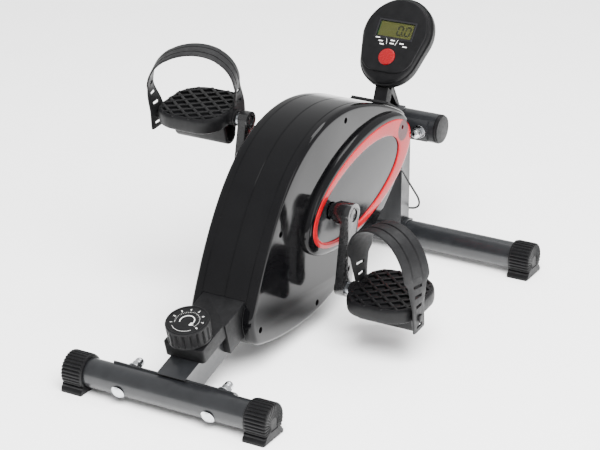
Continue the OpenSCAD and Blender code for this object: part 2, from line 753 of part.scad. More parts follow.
module knob_bracket() {
    z0 = tube_t / 2 + seat;
    skirt_top = z0 + bracket_h - 1.5;
    color("#1a1a1c") on_main_tube() difference() {
        union() {
            translate([0, 0, z0]) linear_extrude(bracket_h) hull() for (x = [-1, 1]) {
                translate([x * (bracket_w / 2 - 5), bracket_y0 + 5]) circle(r = 5, $fn = 32);
                translate([x * (bracket_w / 2 - 1), bracket_y1]) circle(r = 1, $fn = 32);
            }
            translate([-skirt_w / 2, bracket_y1, skirt_low])
                cube([skirt_w, bracket_y2 - bracket_y1, skirt_top - skirt_low]);
        }
        translate([-bracket_w / 2 + bracket_wall, bracket_y0 + bracket_wall, z0 - 1])
            cube([bracket_w - 2 * bracket_wall, bracket_y1 - bracket_y0, bracket_h - 2]);
        translate([-bracket_w / 2 + bracket_wall, bracket_y1 - 1, z0 - 1])
            cube([bracket_w - 2 * bracket_wall, 60, bracket_h - 3.5]);
        translate([-tube_w / 2 - seat, bracket_y1 - 1, skirt_low - 1])
            cube([tube_w + 2 * seat, 60, z0 - skirt_low + 1]);
        translate([0, knob_y, 0]) cylinder(r = 4 + fit, h = 60, $fn = fine_fn);
    }
}

module at_knob() { on_main_tube() translate([0, knob_y, tube_t / 2 + bracket_h]) children(); }

// Fluted knob with a recess for its printed dial
module tension_knob() {
    flutes = 18;
    dial_r = knob_r - 3.5;
    color("#1c1c1e") at_knob() difference() {
        union() {
            translate([0, 0, 0.6]) cylinder(r = knob_r + 0.8, h = 3, $fn = round_fn);
            translate([0, 0, 3.6]) cylinder(r = knob_r, h = knob_h - 3.6, $fn = round_fn);
        }
        for (i = [0:flutes - 1]) rotate([0, 0, 360 * i / flutes])
            translate([knob_r + 2.4, 0, 4.6]) cylinder(r = 3.4, h = knob_h - 9, $fn = 24);
        translate([0, 0, knob_h - 1.2]) cylinder(r = dial_r, h = 3, $fn = round_fn);
        translate([0, 0, -1]) cylinder(r = 4, h = 13, $fn = fine_fn);
        translate([0, 0, -1]) difference() {
            cylinder(r = knob_r - 3, h = knob_h - 4, $fn = round_fn);
            cylinder(r = collar_r, h = knob_h, $fn = fine_fn);
        }
    }
}

module knob_dial() {
    color("#262628") at_knob() translate([0, 0, knob_h - 1.2 + seat])
        cylinder(r = knob_r - 3.5 - seat, h = 1.0, $fn = round_fn);
}

// Stem that the knob turns, with the drum that winds the brake cable under the bracket's roof
module cable_drum() {
    color("#c9ccd0") at_knob() {
        translate([0, 0, -14]) cylinder(r = 4 - fit, h = 25, $fn = fine_fn);
        translate([0, 0, -13]) cylinder(r = 12, h = 8.5, $fn = fine_fn);
    }
}

// ---------------------------------------------------------------- casing

half_w = casing_w / 2;
edge_step = 2.2;
disc_y = mid_y + 96;
disc_z = 179;
disc_a = 149;
disc_b = 68;
disc_tilt = 14;
screw_sites = [for (p = [[66, 276], [-106, 176], [-158, 63], [-10, 42], [82, 63]]) p + [mid_y, 0]];

// One hollow half on the +X side, its rim shaped by three slabs stepping in
module casing_half() {
    difference() {
        union() {
            slab(seat, half_w - 2 * edge_step) casing_profile(0);
            slab(half_w - 2 * edge_step - 1, half_w - edge_step) casing_profile(1.4);
            slab(half_w - edge_step - 1, half_w) casing_profile(3.6);
        }
        difference() {
            slab(-1, half_w - casing_wall) casing_profile(casing_wall + 1.4);
            for (s = screw_sites) translate([0, s[0], s[1]]) x_rod(7, -2, half_w);
        }
        slab(-1, tube_w / 2 + 0.5) mouth_outline(-tube_t / 2 - 0.5, tube_t / 2 + 2);
        slab(-1, skirt_w / 2 + 0.5) mouth_outline(skirt_low - 0.5, tube_t / 2 + bracket_h - 1);
        translate([-1, mid_y + 225, 150]) cube([27, 40, 65]);
        translate([0, axle_y, axle_z]) x_rod(12.5, half_w - 10, half_w + 5);
        for (s = screw_sites) translate([0, s[0], s[1]]) {
            x_rod(2, -1, half_w + 1, fine_fn);
            x_rod(4.2, 12, half_w + 1, fine_fn);
        }
    }
}

// Opening at the toe for the main tube or the bracket's skirt, between two heights across the tube
module mouth_outline(low, high) {
    polygon([for (p = [[90, low], [165, low], [165, high], [90, high]])
        let (q = along(0, p[0], p[1])) [q[1], q[2]]]);
}

module right_casing() { color("#0e0e10") casing_half(); }
module left_casing() { color("#0e0e10") mirror([1, 0, 0]) casing_half(); }

// Long screws from the right half into the left
module casing_screws() {
    color("#3c3d40") for (s = screw_sites) translate([0, s[0], s[1]]) {
        x_rod(1.95, -9, 12, fine_fn);
        x_rod(3.8, 12 + seat, 15, fine_fn);
    }
}

// Oval outline centred on the side disc, grown or shrunk, as (y, z)
module oval(dy, dz, a, b, tilt) {
    translate([disc_y + dy, disc_z + dz]) rotate(tilt) scale([1, b / a]) circle(r = a, $fn = 96);
}

ring_x0 = half_w + disc_t - 1.2;   // floor of the shallow recess that the ring and the panel share
ring_hole = [mid_y + 213, 222];     // fastener hole in the ring's rear end, as (y, z)

module side_disc() {
    difference() {
        union() {
            slab(half_w + seat, half_w + disc_t - 3) oval(0, 0, disc_a, disc_b, disc_tilt);
            slab(half_w + disc_t - 4, half_w + disc_t) oval(0, 0, disc_a - 3, disc_b - 3, disc_tilt);
        }
        slab(ring_x0, half_w + disc_t + 1) oval(5, -1, disc_a - 7, disc_b - 8.5, 12);
        translate([0, axle_y, axle_z]) x_rod(12.5, half_w - 1, half_w + 20);
    }
}

module red_ring() {
    slab(ring_x0 + seat, half_w + disc_t + 0.6) difference() {
        oval(5, -1, disc_a - 7.2, disc_b - 8.7, 12);
        oval(-8, -5, disc_a - 31, disc_b - 21, 12);
        translate(ring_hole) circle(r = 3, $fn = fine_fn);
    }
}

module right_side_disc() { color("#0e0e10") side_disc(); }
module left_side_disc() { color("#0e0e10") mirror([1, 0, 0]) side_disc(); }
module right_red_ring() { color("#d2122e") red_ring(); }
module left_red_ring() { color("#d2122e") mirror([1, 0, 0]) red_ring(); }

// ---------------------------------------------------------------- display

face_y = mid_y + 272;
face_z = 298;
wall_d = 2.4;
button_r = 12.5;

// Local frame of the display: x across, y up the face, z out of the face
module on_face() { translate([0, face_y, face_z]) rotate([90 - face_lean, 0, 0]) children(); }

// Outline of the face: a big round top over a narrower rounded chin
module face_outline(grow) {
    hull() {
        translate([0, 41]) circle(r = 46.5 + grow, $fn = 72);
        for (x = [-13, 13]) translate([x, 5]) circle(r = 27 + grow, $fn = 48);
    }
}

// Outline of the shells behind the face, from the radii of its top and its rounder bottom
module shell_outline(top_r, low_r) {
    hull() {
        translate([0, 41]) circle(r = top_r, $fn = 72);
        translate([0, 5]) circle(r = low_r, $fn = 72);
    }
}

module console_front() {
    color("#202124") on_face() difference() {
        union() {
            translate([0, 0, -3]) linear_extrude(3) face_outline(0);
            translate([0, 0, -9]) linear_extrude(6.2) shell_outline(51, 43);
        }
        translate([0, 0, -10]) linear_extrude(7.6) face_outline(-2);
        translate([-27, 30, -4]) cube([54, 24, 6]);
        translate([0, 0, -6]) cylinder(r = button_r + 0.4, h = 8, $fn = fine_fn);
    }
}

module console_back() {
    color("#151517") on_face() difference() {
        union() {
            translate([0, 0, -27]) linear_extrude(18 - seat) shell_outline(53.5, 45);
            translate([0, 0, -head_d]) linear_extrude(head_d - 26) shell_outline(47, 37);
        }
        translate([0, 0, -27 + wall_d]) linear_extrude(20) shell_outline(53.5 - wall_d, 45 - wall_d);
        translate([0, 0, -head_d + wall_d]) linear_extrude(20) shell_outline(47 - wall_d, 37 - wall_d);
    }
}

module display_lens() {
    color("#9aa07a", 0.5) on_face() translate([-26.9, 30.1, -1.6]) cube([53.8, 23.8, 1.2]);
}

module display_module() {
    color("#8a8a50") on_face() translate([-25.5, 31, -4.6]) cube([51, 22, 2.9]);
}

module circuit_board() {
    color("#2d6a3e") on_face() translate([-30, -8, -8.8]) cube([60, 64, 1.6]);
}

module battery() {
    color("#c9ccd0") on_face() translate([-22, 14, -22]) rotate([0, 90, 0])
        cylinder(r = 7, h = 44, $fn = fine_fn);
}

module mode_button() {
    color("#d2122e") on_face() {
        translate([0, 0, -4]) cylinder(r = button_r, h = 5, $fn = fine_fn);
        translate([0, 0, -5.9]) cylinder(r = 4, h = 2, $fn = fine_fn);
    }
}

// Foot on the casing roof, a neck up to the head and a rear leg down to the cross tube
module console_bracket() {
    color("#17171a") difference() {
        translate([0, mid_y, 0]) {
            slab(-29, 29) polygon([[220, 248.4], [262, 224], [262, 228], [224, 250.6]]);
            slab(-10, 10) polygon([[249, 232], [262, 224], [280, 268], [268, 280]]);
            slab(-8, 8) polygon([[262, 262], [276, 262], [303, 215.2], [296, 215.1]]);
        }
        on_face() {
            translate([-60, -10, -60]) cube([120, 200, 100]);
            translate([0, 0, -27 - seat]) linear_extrude(40) shell_outline(53.5, 45 + seat);
            translate([0, 0, -head_d - seat]) linear_extrude(20) shell_outline(47, 37 + seat);
        }
        intersection() {
            on_main_tube() translate([-60, 0, -tube_t]) cube([120, 700, 1.5 * tube_t + seat]);
            translate([-60, 0, 0]) cube([120, rear_y - 6 + seat, 400]);
        }
        translate([0, rear_y, bar_z]) x_rod(bar_r + seat, -60, 60);
        slab(-40, 40) casing_profile(-seat);
    }
}

// ---------------------------------------------------------------- sensor lead

grommet_r = 4.5;
lead_exit = [10, rear_y + post_d / 2, 54];
lead_route = [for (p = [[23.8, 222, 168], [24, 236, 158], [27, 250, 147], [28, 262, 139], [27, 275, 130],
    [26, 288, 117], [26.5, 301, 101], [28.5, 312, 86], [31.5, 318, 75], [32.5, 321, 66], [30, 322.5, 59],
    [24, 322.5, 55], [17, 321.5, 54], [11.5, 318, 54], [10, 313.5, 54]]) p + [0, mid_y, 0]];

module sensor_lead() {
    color("#121212") swept(through(lead_route, 3), 1.5);
}

module cable_grommet() {
    color("#121212") translate(lead_exit) rotate([-90, 0, 0]) difference() {
        union() {
            translate([0, 0, -2.4]) cylinder(r = grommet_r - seat, h = 2.6, $fn = fine_fn);
            translate([0, 0, seat]) cylinder(r = grommet_r + 1.8, h = 1.4, $fn = fine_fn);
        }
        translate([0, 0, -4]) cylinder(r = 3, h = 8, $fn = fine_fn);
    }
}

front_foot_tube();
rear_foot_tube();
front_saddle_plate();
rear_saddle_plate();
cross_tube_saddle_plate();
main_tube();
rear_post();
cross_tube();
cross_tube_plugs();
front_left_foot_cap();
front_right_foot_cap();
rear_left_foot_cap();
rear_right_foot_cap();
carriage_bolts();
bolt_washers();
cap_nuts();
bottom_bracket();
crank_bearings();
flywheel_housing();
flywheel_bearings();
crank_axle();
left_crank_arm();
right_crank_arm();
crank_bolts();
drive_pulley();
pedal_spindles();
left_pedal();
left_pedal_strap();
right_pedal();
right_pedal_strap();
flywheel();
flywheel_shaft();
belt_pulley();
drive_belt();
magnet_bracket();
brake_magnets();
brake_anchor();
brake_spring();
brake_cable();
knob_bracket();
tension_knob();
knob_dial();
cable_drum();
left_casing();
right_casing();
casing_screws();
left_side_disc();
right_side_disc();
left_red_ring();
right_red_ring();
console_bracket();
console_back();
console_front();
display_lens();
display_module();
mode_button();
circuit_board();
battery();
sensor_lead();
cable_grommet();
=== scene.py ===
# %% [markdown]
# # Pedal exerciser
# A small pedal machine that stands in front of a chair. Its frame, axles and joints come from the
# CAD model and stay where they are. This lesson adds the light, the finishes and the moulded,
# cast and rubber pieces whose shapes a CAD solid only stands in for.

import json
import math

import bpy
import bmesh
from mathutils import Matrix, Vector


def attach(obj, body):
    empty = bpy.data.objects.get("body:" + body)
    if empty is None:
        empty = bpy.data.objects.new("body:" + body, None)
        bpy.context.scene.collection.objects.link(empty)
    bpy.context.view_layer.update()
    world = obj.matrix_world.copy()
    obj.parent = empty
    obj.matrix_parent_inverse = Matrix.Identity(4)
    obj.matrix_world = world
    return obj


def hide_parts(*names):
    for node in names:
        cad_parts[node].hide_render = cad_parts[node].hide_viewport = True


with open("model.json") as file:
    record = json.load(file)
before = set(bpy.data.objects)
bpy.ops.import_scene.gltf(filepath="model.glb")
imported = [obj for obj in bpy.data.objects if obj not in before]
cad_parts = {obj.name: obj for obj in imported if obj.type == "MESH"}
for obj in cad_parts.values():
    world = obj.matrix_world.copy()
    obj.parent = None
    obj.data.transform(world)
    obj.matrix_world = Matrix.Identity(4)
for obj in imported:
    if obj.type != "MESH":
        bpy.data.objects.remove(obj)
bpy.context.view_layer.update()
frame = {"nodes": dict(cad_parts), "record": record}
bpy.ops.object.select_all(action="DESELECT")
NODES = frame["nodes"]
RECORD = frame["record"]
MM = 0.001

# %% [markdown]
# ## Camera
# A long lens a little above the machine, turned so that the user's end comes towards the viewer
# from the left. A long lens keeps the two feet nearly parallel.

# %% Camera
MID_Y = -0.016              # the middle of the two feet, in the frame's own coordinates
CAMERA_AT = Vector((1.278, -2.222 + MID_Y, 1.221))
CAMERA_TURN = 29.62
CAMERA_DROP = 22.85

lens = bpy.data.cameras.new("camera")
lens.lens = 125.4
lens.sensor_width = 36
camera = bpy.data.objects.new("camera", lens)
bpy.context.scene.collection.objects.link(camera)
camera.location = CAMERA_AT
camera.rotation_euler = (math.radians(90 - CAMERA_DROP), 0, math.radians(CAMERA_TURN))
bpy.context.scene.camera = camera
print("camera:", tuple(round(v, 3) for v in camera.location))

# %% [markdown]
# ## Floor and light
# A pale floor that runs far back, a bright even sky, and three large soft lamps. Gloss black
# plastic shows almost nothing but reflections, so the lamps are long panels: each one draws a
# clean band along an edge.

# %% Floor
bpy.ops.mesh.primitive_plane_add(size=60, location=(0, 0, 0))
floor = bpy.context.object
floor.name = "floor"
print("floor:", [round(side) for side in floor.dimensions[:2]], "m")

# %% Sky and lamps
world = bpy.data.worlds.new("studio")
bpy.context.scene.world = world
world.use_nodes = True
world.node_tree.nodes["Background"].inputs["Color"].default_value = (1, 1, 1, 1)
world.node_tree.nodes["Background"].inputs["Strength"].default_value = 0.85


def add_lamp(name, at, look_at, size, watts):
    light = bpy.data.lights.new(name, "AREA")
    light.shape = "RECTANGLE"
    light.size, light.size_y = size
    light.energy = watts
    lamp = bpy.data.objects.new(name, light)
    bpy.context.scene.collection.objects.link(lamp)
    lamp.location = at
    lamp.rotation_euler = (Vector(look_at) - Vector(at)).to_track_quat("-Z", "Y").to_euler()
    print("lamp:", name, size, "m,", watts, "W")
    return lamp


MACHINE_MIDDLE = (0, 0, 0.15)
fill = add_lamp("overhead_fill", (1.6, -1.6, 3.8), MACHINE_MIDDLE, (3.5, 3.5), 900)
fill.visible_glossy = False     # lights the paper and the matt pieces, without a glare on the gloss
add_lamp("side_panel", (2.6, -0.2, 1.3), MACHINE_MIDDLE, (0.8, 2.0), 13)
add_lamp("top_panel", (0.2, 1.2, 2.6), MACHINE_MIDDLE, (2.0, 0.9), 34)

# %% [markdown]
# ## Helpers for materials
# One function turns a hex colour into the linear values that the shader wants, one adds a node
# with its settings and links, and one starts a material with its main shader.

# %% Material helpers


def linear(hex_colour):
    channels = [int(hex_colour[i:i + 2], 16) / 255 for i in (1, 3, 5)]
    return tuple(c / 12.92 if c <= 0.04045 else ((c + 0.055) / 1.055) ** 2.4 for c in channels) + (1,)


def add_node(material, kind, settings=None, inputs=None):
    """Adds a shader node. A value in inputs is a number or colour, or an output socket to link."""
    node = material.node_tree.nodes.new(kind)
    for key, value in (settings or {}).items():
        setattr(node, key, value)
    for key, value in (inputs or {}).items():
        if isinstance(value, bpy.types.NodeSocket):
            material.node_tree.links.new(value, node.inputs[key])
        else:
            node.inputs[key].default_value = value
    return node


def new_material(name, colour, roughness, **sockets):
    material = bpy.data.materials.new(name)
    material.use_nodes = True
    print("finish:", name)
    shader = material.node_tree.nodes["Principled BSDF"]
    shader.inputs["Base Color"].default_value = linear(colour)
    shader.inputs["Roughness"].default_value = roughness
    for key, value in sockets.items():
        shader.inputs[key.replace("_", " ")].default_value = value
    return material, shader


def drive(material, shader, socket, output):
    material.node_tree.links.new(output, shader.inputs[socket])


def colour_ramp(material, factor, stops):
    ramp = add_node(material, "ShaderNodeValToRGB", inputs={"Fac": factor})
    elements = ramp.color_ramp.elements
    while len(elements) < len(stops):
        elements.new(0.5)
    for element, (place, colour) in zip(elements, stops):
        element.position = place
        element.color = linear(colour) if isinstance(colour, str) else (colour, colour, colour, 1)
    return ramp.outputs["Color"]


def noise(material, size_mm, detail=3, roughness=0.55, stretch=(1, 1, 1)):
    """Noise whose lumps are about size_mm across, on the piece's own coordinates."""
    where = add_node(material, "ShaderNodeTexCoord").outputs["Object"]
    mapping = add_node(material, "ShaderNodeMapping", inputs={"Vector": where, "Scale": stretch})
    return add_node(material, "ShaderNodeTexNoise", inputs={
        "Vector": mapping.outputs["Vector"], "Scale": 1 / (size_mm * MM),
        "Detail": detail, "Roughness": roughness}).outputs["Fac"]


def vary(material, shader, socket, size_mm, low, high, detail=3, stops=(0.3, 0.7)):
    """Lets a socket wander between two values, in patches of about size_mm."""
    factor = noise(material, size_mm, detail)
    drive(material, shader, socket, colour_ramp(material, factor, list(zip(stops, (low, high)))))


def bump(material, shader, height, depth_mm, strength=1.0):
    node = add_node(material, "ShaderNodeBump", inputs={
        "Height": height, "Distance": depth_mm * MM, "Strength": strength})
    drive(material, shader, "Normal", node.outputs["Normal"])


# %% [markdown]
# ## Finishes
# Each finish starts from what the real one is and how its surface was made. A flat colour looks
# false, so colour and roughness wander a little over patches of a real size, and a fine bump adds
# the grain. The machine is mostly black, so what tells its parts apart is gloss: polished ABS
# mirrors the lamps, grained polypropylene spreads them, and powder coat does a little of both.

# %% Powder-coated steel: a thin baked paint over tube, dark grey with a fine orange-peel skin
powder_coat, shader = new_material("charcoal_powder_coated_steel", "#1b1c1e", 0.34, IOR=1.5,
                                   Metallic=0.3, Coat_Weight=0.35, Coat_Roughness=0.16)
vary(powder_coat, shader, "Base Color", 18, "#18191b", "#1f2022")
vary(powder_coat, shader, "Roughness", 6, 0.30, 0.42)
bump(powder_coat, shader, noise(powder_coat, 1.6), 0.03)

# %% Moulded polypropylene: the caps, brackets and knob, near black with a fine spark-eroded grain
moulded_black, shader = new_material("grained_black_polypropylene", "#111112", 0.5, IOR=1.49,
                                     Specular_IOR_Level=0.22)
vary(moulded_black, shader, "Base Color", 12, "#09090a", "#0f0f10")
vary(moulded_black, shader, "Roughness", 5, 0.42, 0.55)
bump(moulded_black, shader, noise(moulded_black, 0.9, 2), 0.05)

# %% Gloss ABS: the casing, polished in the mould, so it mirrors the lamps with a faint ripple
gloss_black, shader = new_material("polished_black_abs", "#070708", 0.09, IOR=1.53,
                                   Specular_IOR_Level=0.2)
vary(gloss_black, shader, "Base Color", 60, "#060607", "#09090a")
vary(gloss_black, shader, "Roughness", 30, 0.07, 0.14, detail=5, stops=(0.35, 0.7))
bump(gloss_black, shader, noise(gloss_black, 45, 1), 0.08)

# %% Dark grey gloss ABS: the oval panel inside the red ring
gloss_panel, shader = new_material("polished_graphite_abs", "#161618", 0.16, IOR=1.53,
                                   Specular_IOR_Level=0.26)
vary(gloss_panel, shader, "Roughness", 24, 0.12, 0.22, detail=4, stops=(0.35, 0.7))
bump(gloss_panel, shader, noise(gloss_panel, 40, 1), 0.06)

# %% Red ABS: the ring, high gloss with a deep clear top layer
gloss_red, shader = new_material("polished_red_abs", "#980010", 0.2, IOR=1.53, Specular_IOR_Level=0.22)
red_tone = colour_ramp(gloss_red, noise(gloss_red, 40), [(0.3, "#90000e"), (0.7, "#a00214")])
# Painted shade: round the fastener at the rear end of the ring, the red is mixed towards a dark red that
# stands in for the shade falling there
flat_place = add_node(gloss_red, "ShaderNodeMapping", inputs={
    "Vector": add_node(gloss_red, "ShaderNodeTexCoord").outputs["Object"], "Scale": (0, 1, 1)})
fastener_reach = add_node(gloss_red, "ShaderNodeVectorMath", {"operation": "DISTANCE"}, {
    0: flat_place.outputs["Vector"], 1: (0, 0.199, 0.217)})
painted_shade_mask = add_node(gloss_red, "ShaderNodeMapRange", inputs={
    "Value": fastener_reach.outputs["Value"], "From Min": 0.014, "From Max": 0.0165})
# Painted shade: near the fastener the ring's red gives way to dark red
painted_shade_red = add_node(gloss_red, "ShaderNodeMix", {"data_type": "RGBA"}, {
    0: painted_shade_mask.outputs["Result"], 6: linear("#3c0007"), 7: red_tone})
drive(gloss_red, shader, "Base Color", painted_shade_red.outputs[2])
vary(gloss_red, shader, "Roughness", 20, 0.10, 0.20, detail=4, stops=(0.35, 0.7))

# %% Red keycap ABS: the button, a little less polished than the ring. Its red is darker than the ring's as painted shade, offsetting the overhead fill that the upward-facing button catches
keycap_red_painted_shade, shader = new_material("red_keycap_abs_painted_shade", "#6e0007", 0.25, IOR=1.53)
vary(keycap_red_painted_shade, shader, "Roughness", 4, 0.2, 0.32)
bump(keycap_red_painted_shade, shader, noise(keycap_red_painted_shade, 1.0, 2), 0.02)

# %% Strap rubber: soft black thermoplastic with a faint bloom
strap_rubber, shader = new_material("matt_black_thermoplastic_rubber", "#121213", 0.5, IOR=1.5,
                                    Specular_IOR_Level=0.3)
vary(strap_rubber, shader, "Base Color", 15, "#0e0e0f", "#151516")
vary(strap_rubber, shader, "Roughness", 7, 0.45, 0.62)
bump(strap_rubber, shader, noise(strap_rubber, 1.2, 2), 0.05)

# %% Bright zinc: plated bolts, washers and nuts, with a slight cloudiness
bright_zinc, shader = new_material("bright_zinc_plate", "#d3d5d8", 0.18, Metallic=1.0)
vary(bright_zinc, shader, "Base Color", 5, "#c4c7cb", "#e0e1e3")
vary(bright_zinc, shader, "Roughness", 3, 0.12, 0.30)

# %% Turned steel: axles, spindles and bearings, with fine rings left by the lathe
turned_steel, shader = new_material("turned_steel", "#9a9da1", 0.28, Metallic=1.0)
lathe_rings = noise(turned_steel, 1.0, 2, stretch=(6, 1, 1))
drive(turned_steel, shader, "Roughness", colour_ramp(turned_steel, lathe_rings, [(0.3, 0.20), (0.7, 0.38)]))
bump(turned_steel, shader, lathe_rings, 0.01)

# %% Gloss black enamel: the crank arms
black_enamel, shader = new_material("gloss_black_enamel", "#0d0d0e", 0.2, IOR=1.5, Coat_Weight=0.6,
                                    Coat_Roughness=0.08)
vary(black_enamel, shader, "Roughness", 9, 0.18, 0.32, detail=4)
bump(black_enamel, shader, noise(black_enamel, 2.5, 2), 0.02)

# %% Cast iron: the flywheel
cast_iron, shader = new_material("machined_cast_iron", "#77797c", 0.4, Metallic=0.9)
bump(cast_iron, shader, noise(cast_iron, 1.2, 4), 0.08)
vary(cast_iron, shader, "Base Color", 6, "#5f6164", "#86888b", detail=4)

# %% Belt and cable rubber
cable_rubber, shader = new_material("satin_black_pvc", "#141415", 0.4, IOR=1.52)
vary(cable_rubber, shader, "Roughness", 6, 0.34, 0.48)

# %% Nickel-plated magnets, solder mask, lens and display
nickel, shader = new_material("nickel_plate", "#b9bbc0", 0.22, Metallic=1.0)
vary(nickel, shader, "Roughness", 4, 0.15, 0.30)
solder_mask, shader = new_material("green_solder_mask", "#1f5c37", 0.35, IOR=1.5)
vary(solder_mask, shader, "Base Color", 3, "#1a5231", "#2b7147", detail=1, stops=(0.48, 0.52))
clear_lens, shader = new_material("clear_polycarbonate", "#1c1e19", 0.05, IOR=1.45, Alpha=0.14)
vary(clear_lens, shader, "Roughness", 20, 0.02, 0.06, detail=4)
lcd_olive, shader = new_material("reflective_lcd", "#3d3f18", 0.5, IOR=1.5)
vary(lcd_olive, shader, "Base Color", 25, "#3b3d17", "#42441b")

# %% Floor paper
floor_paper, shader = new_material("white_studio_paper", "#ffffff", 0.7)
vary(floor_paper, shader, "Roughness", 80, 0.65, 0.8)
floor.data.materials.append(floor_paper)

# %% [markdown]
# ## Finishes on the CAD pieces
# The record names a slot for every CAD piece, so one table from slot to finish covers them all.

# %% Put a finish on every CAD piece
FINISHES = {
    "frame_paint": powder_coat, "black_plastic": moulded_black, "casing_gloss": gloss_black,
    "panel_gloss": gloss_panel, "red_gloss": gloss_red, "strap_rubber": strap_rubber,
    "zinc": bright_zinc, "steel": turned_steel, "black_steel": black_enamel,
    "cast_wheel": cast_iron, "belt_rubber": cable_rubber, "magnet": nickel, "lens": clear_lens,
    "lcd": lcd_olive, "circuit": solder_mask, "cable": cable_rubber,
}
SLOT_OF = {part["node"]: part["material_slot"] for part in RECORD["subparts"]}


def give_finish(piece, material):
    piece.data.materials.clear()
    piece.data.materials.append(material)


for name, node in NODES.items():
    give_finish(node, FINISHES[SLOT_OF[name]])
print("finished", len(NODES), "CAD pieces")

# %% [markdown]
# ## Helpers for shaping
# The CAD nodes are exact but hard-edged. Two ways of working follow. A CAD piece whose shape is
# right is copied, merged and given a real edge radius. A moulded piece is wrapped: a flat grid is
# added and its points are laid onto a surface, going round the piece in one direction and along
# it in the other. Loose ends are then closed and the normals turned outwards.

# %% Shaping helpers


def only(piece):
    """Makes this the one selected, active object."""
    if bpy.context.object and bpy.context.object.mode != "OBJECT":
        bpy.ops.object.mode_set(mode="OBJECT")
    bpy.ops.object.select_all(action="DESELECT")
    piece.select_set(True)
    bpy.context.view_layer.objects.active = piece


def settle(piece):
    """Moves the piece's place, turn and scale into its mesh."""
    only(piece)
    bpy.ops.object.transform_apply(location=True, rotation=True, scale=True)


def modify(piece, kind, **settings):
    """Adds a modifier, sets it and applies it."""
    only(piece)
    modifier = piece.modifiers.new(kind.title(), kind)
    for key, value in settings.items():
        setattr(modifier, key, value)
    bpy.ops.object.modifier_apply(modifier=modifier.name)


def smooth(piece, degrees=35):
    only(piece)
    bpy.ops.object.shade_smooth_by_angle(angle=math.radians(degrees))


def turn_outwards(piece):
    only(piece)
    bpy.ops.object.mode_set(mode="EDIT")
    bpy.ops.mesh.select_all(action="SELECT")
    bpy.ops.mesh.normals_make_consistent(inside=False)
    bpy.ops.object.mode_set(mode="OBJECT")


def wrapped(name, surface, around, along, ends=True, ring=False):
    """Lays a grid onto surface(i, j): i counts the steps round, j the steps along, in millimetres.
    ring joins the last row along to the first, as on a hoop."""
    bpy.ops.mesh.primitive_grid_add(x_subdivisions=around, y_subdivisions=along, size=1)
    piece = bpy.context.object
    piece.name = name
    for vertex in piece.data.vertices:
        i = round((vertex.co.x + 0.5) * around) % around
        j = round((vertex.co.y + 0.5) * along)
        vertex.co = Vector(surface(i, j % along if ring else j)) * MM
    bpy.ops.object.mode_set(mode="EDIT")
    bpy.ops.mesh.select_all(action="SELECT")
    bpy.ops.mesh.remove_doubles(threshold=1e-6)
    if ends:
        bpy.ops.mesh.fill_holes(sides=0)
    turn_outwards(piece)
    return piece


def cut(piece, *tools):
    """Cuts the tools out of the piece and removes them."""
    for tool in tools:
        settle(tool)
        modify(piece, "BOOLEAN", operation="DIFFERENCE", solver="EXACT", object=tool)
        bpy.data.objects.remove(tool)


def join(name, pieces):
    only(pieces[0])
    for piece in pieces[1:]:
        piece.select_set(True)
    if len(pieces) > 1:
        bpy.ops.object.join()
    pieces[0].name = name
    settle(pieces[0])
    return pieces[0]


def rod(radius, start, end, sides=48):
    """A cylinder between two points, in millimetres."""
    a, b = Vector(start) * MM, Vector(end) * MM
    bpy.ops.mesh.primitive_cylinder_add(vertices=sides, radius=radius * MM, depth=(b - a).length,
                                        location=(a + b) / 2,
                                        rotation=(b - a).to_track_quat("Z", "Y").to_euler())
    return bpy.context.object


def block(low, high, turn_x=0.0, about=(0, 0, 0)):
    """A box between two corners, in millimetres, then turned about the X direction."""
    middle = [(a + b) / 2 * MM for a, b in zip(low, high)]
    bpy.ops.mesh.primitive_cube_add(size=1, location=middle)
    piece = bpy.context.object
    piece.scale = [(b - a) * MM for a, b in zip(low, high)]
    settle(piece)
    pivot = Matrix.Translation(Vector(about) * MM)
    piece.data.transform(pivot @ Matrix.Rotation(math.radians(turn_x), 4, "X") @ pivot.inverted())
    return piece


def mirrored(piece, name):
    """A copy with its own mesh on the other side of the middle plane."""
    only(piece)
    bpy.ops.object.duplicate(linked=False)
    copy = bpy.context.object
    copy.name = name
    copy.scale.x = -1
    settle(copy)
    turn_outwards(copy)
    return copy


def dress(piece, material, body, stands_for=(), degrees=35):
    """Finish, smoothing and the calls that tie a piece to the machine."""
    give_finish(piece, material)
    smooth(piece, degrees)
    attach(piece, body)
    if stands_for:
        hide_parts(*stands_for)
    print(piece.name, "on", body + ":", len(piece.data.polygons), "faces")
    return piece


def softened(node, radius_mm, body, material=None, segments=3, angle=30):
    """A copy of a CAD piece with its triangles merged into flat faces and its edges rounded."""
    only(NODES[node])
    bpy.ops.object.duplicate(linked=False)
    piece = bpy.context.object
    piece.name = node.replace("_", " ").title().replace(" ", "_") + "_rounded"
    bpy.ops.object.mode_set(mode="EDIT")
    bpy.ops.mesh.select_all(action="SELECT")
    bpy.ops.mesh.remove_doubles(threshold=1e-6)
    bpy.ops.mesh.dissolve_limited(angle_limit=math.radians(1))
    bpy.ops.object.mode_set(mode="OBJECT")
    modify(piece, "BEVEL", width=radius_mm * MM, segments=segments, limit_method="ANGLE",
           angle_limit=math.radians(angle), harden_normals=False, use_clamp_overlap=True)
    return dress(piece, material or FINISHES[SLOT_OF[node]], body, (node,))

# %% [markdown]
# ## Sensor lead
# A thin lead comes out of the casing behind the side disc, hangs down beside the rear post and
# goes back into the post through a grommet. It is a round tube carried along a smooth run of
# points.

# %% Lead route and tube
LEAD_ROUTE = [(23.8, 206, 168), (24, 220, 158), (27, 234, 147), (28, 246, 139), (27, 259, 130),
              (26, 272, 117), (26.5, 285, 101), (28.5, 296, 86), (31.5, 302, 75), (32.5, 305, 66),
              (30, 306.5, 59), (24, 306.5, 55), (17, 305.5, 54), (11.5, 302, 54), (10, 297.5, 54)]
LEAD_R, LEAD_SIDES = 1.5, 16


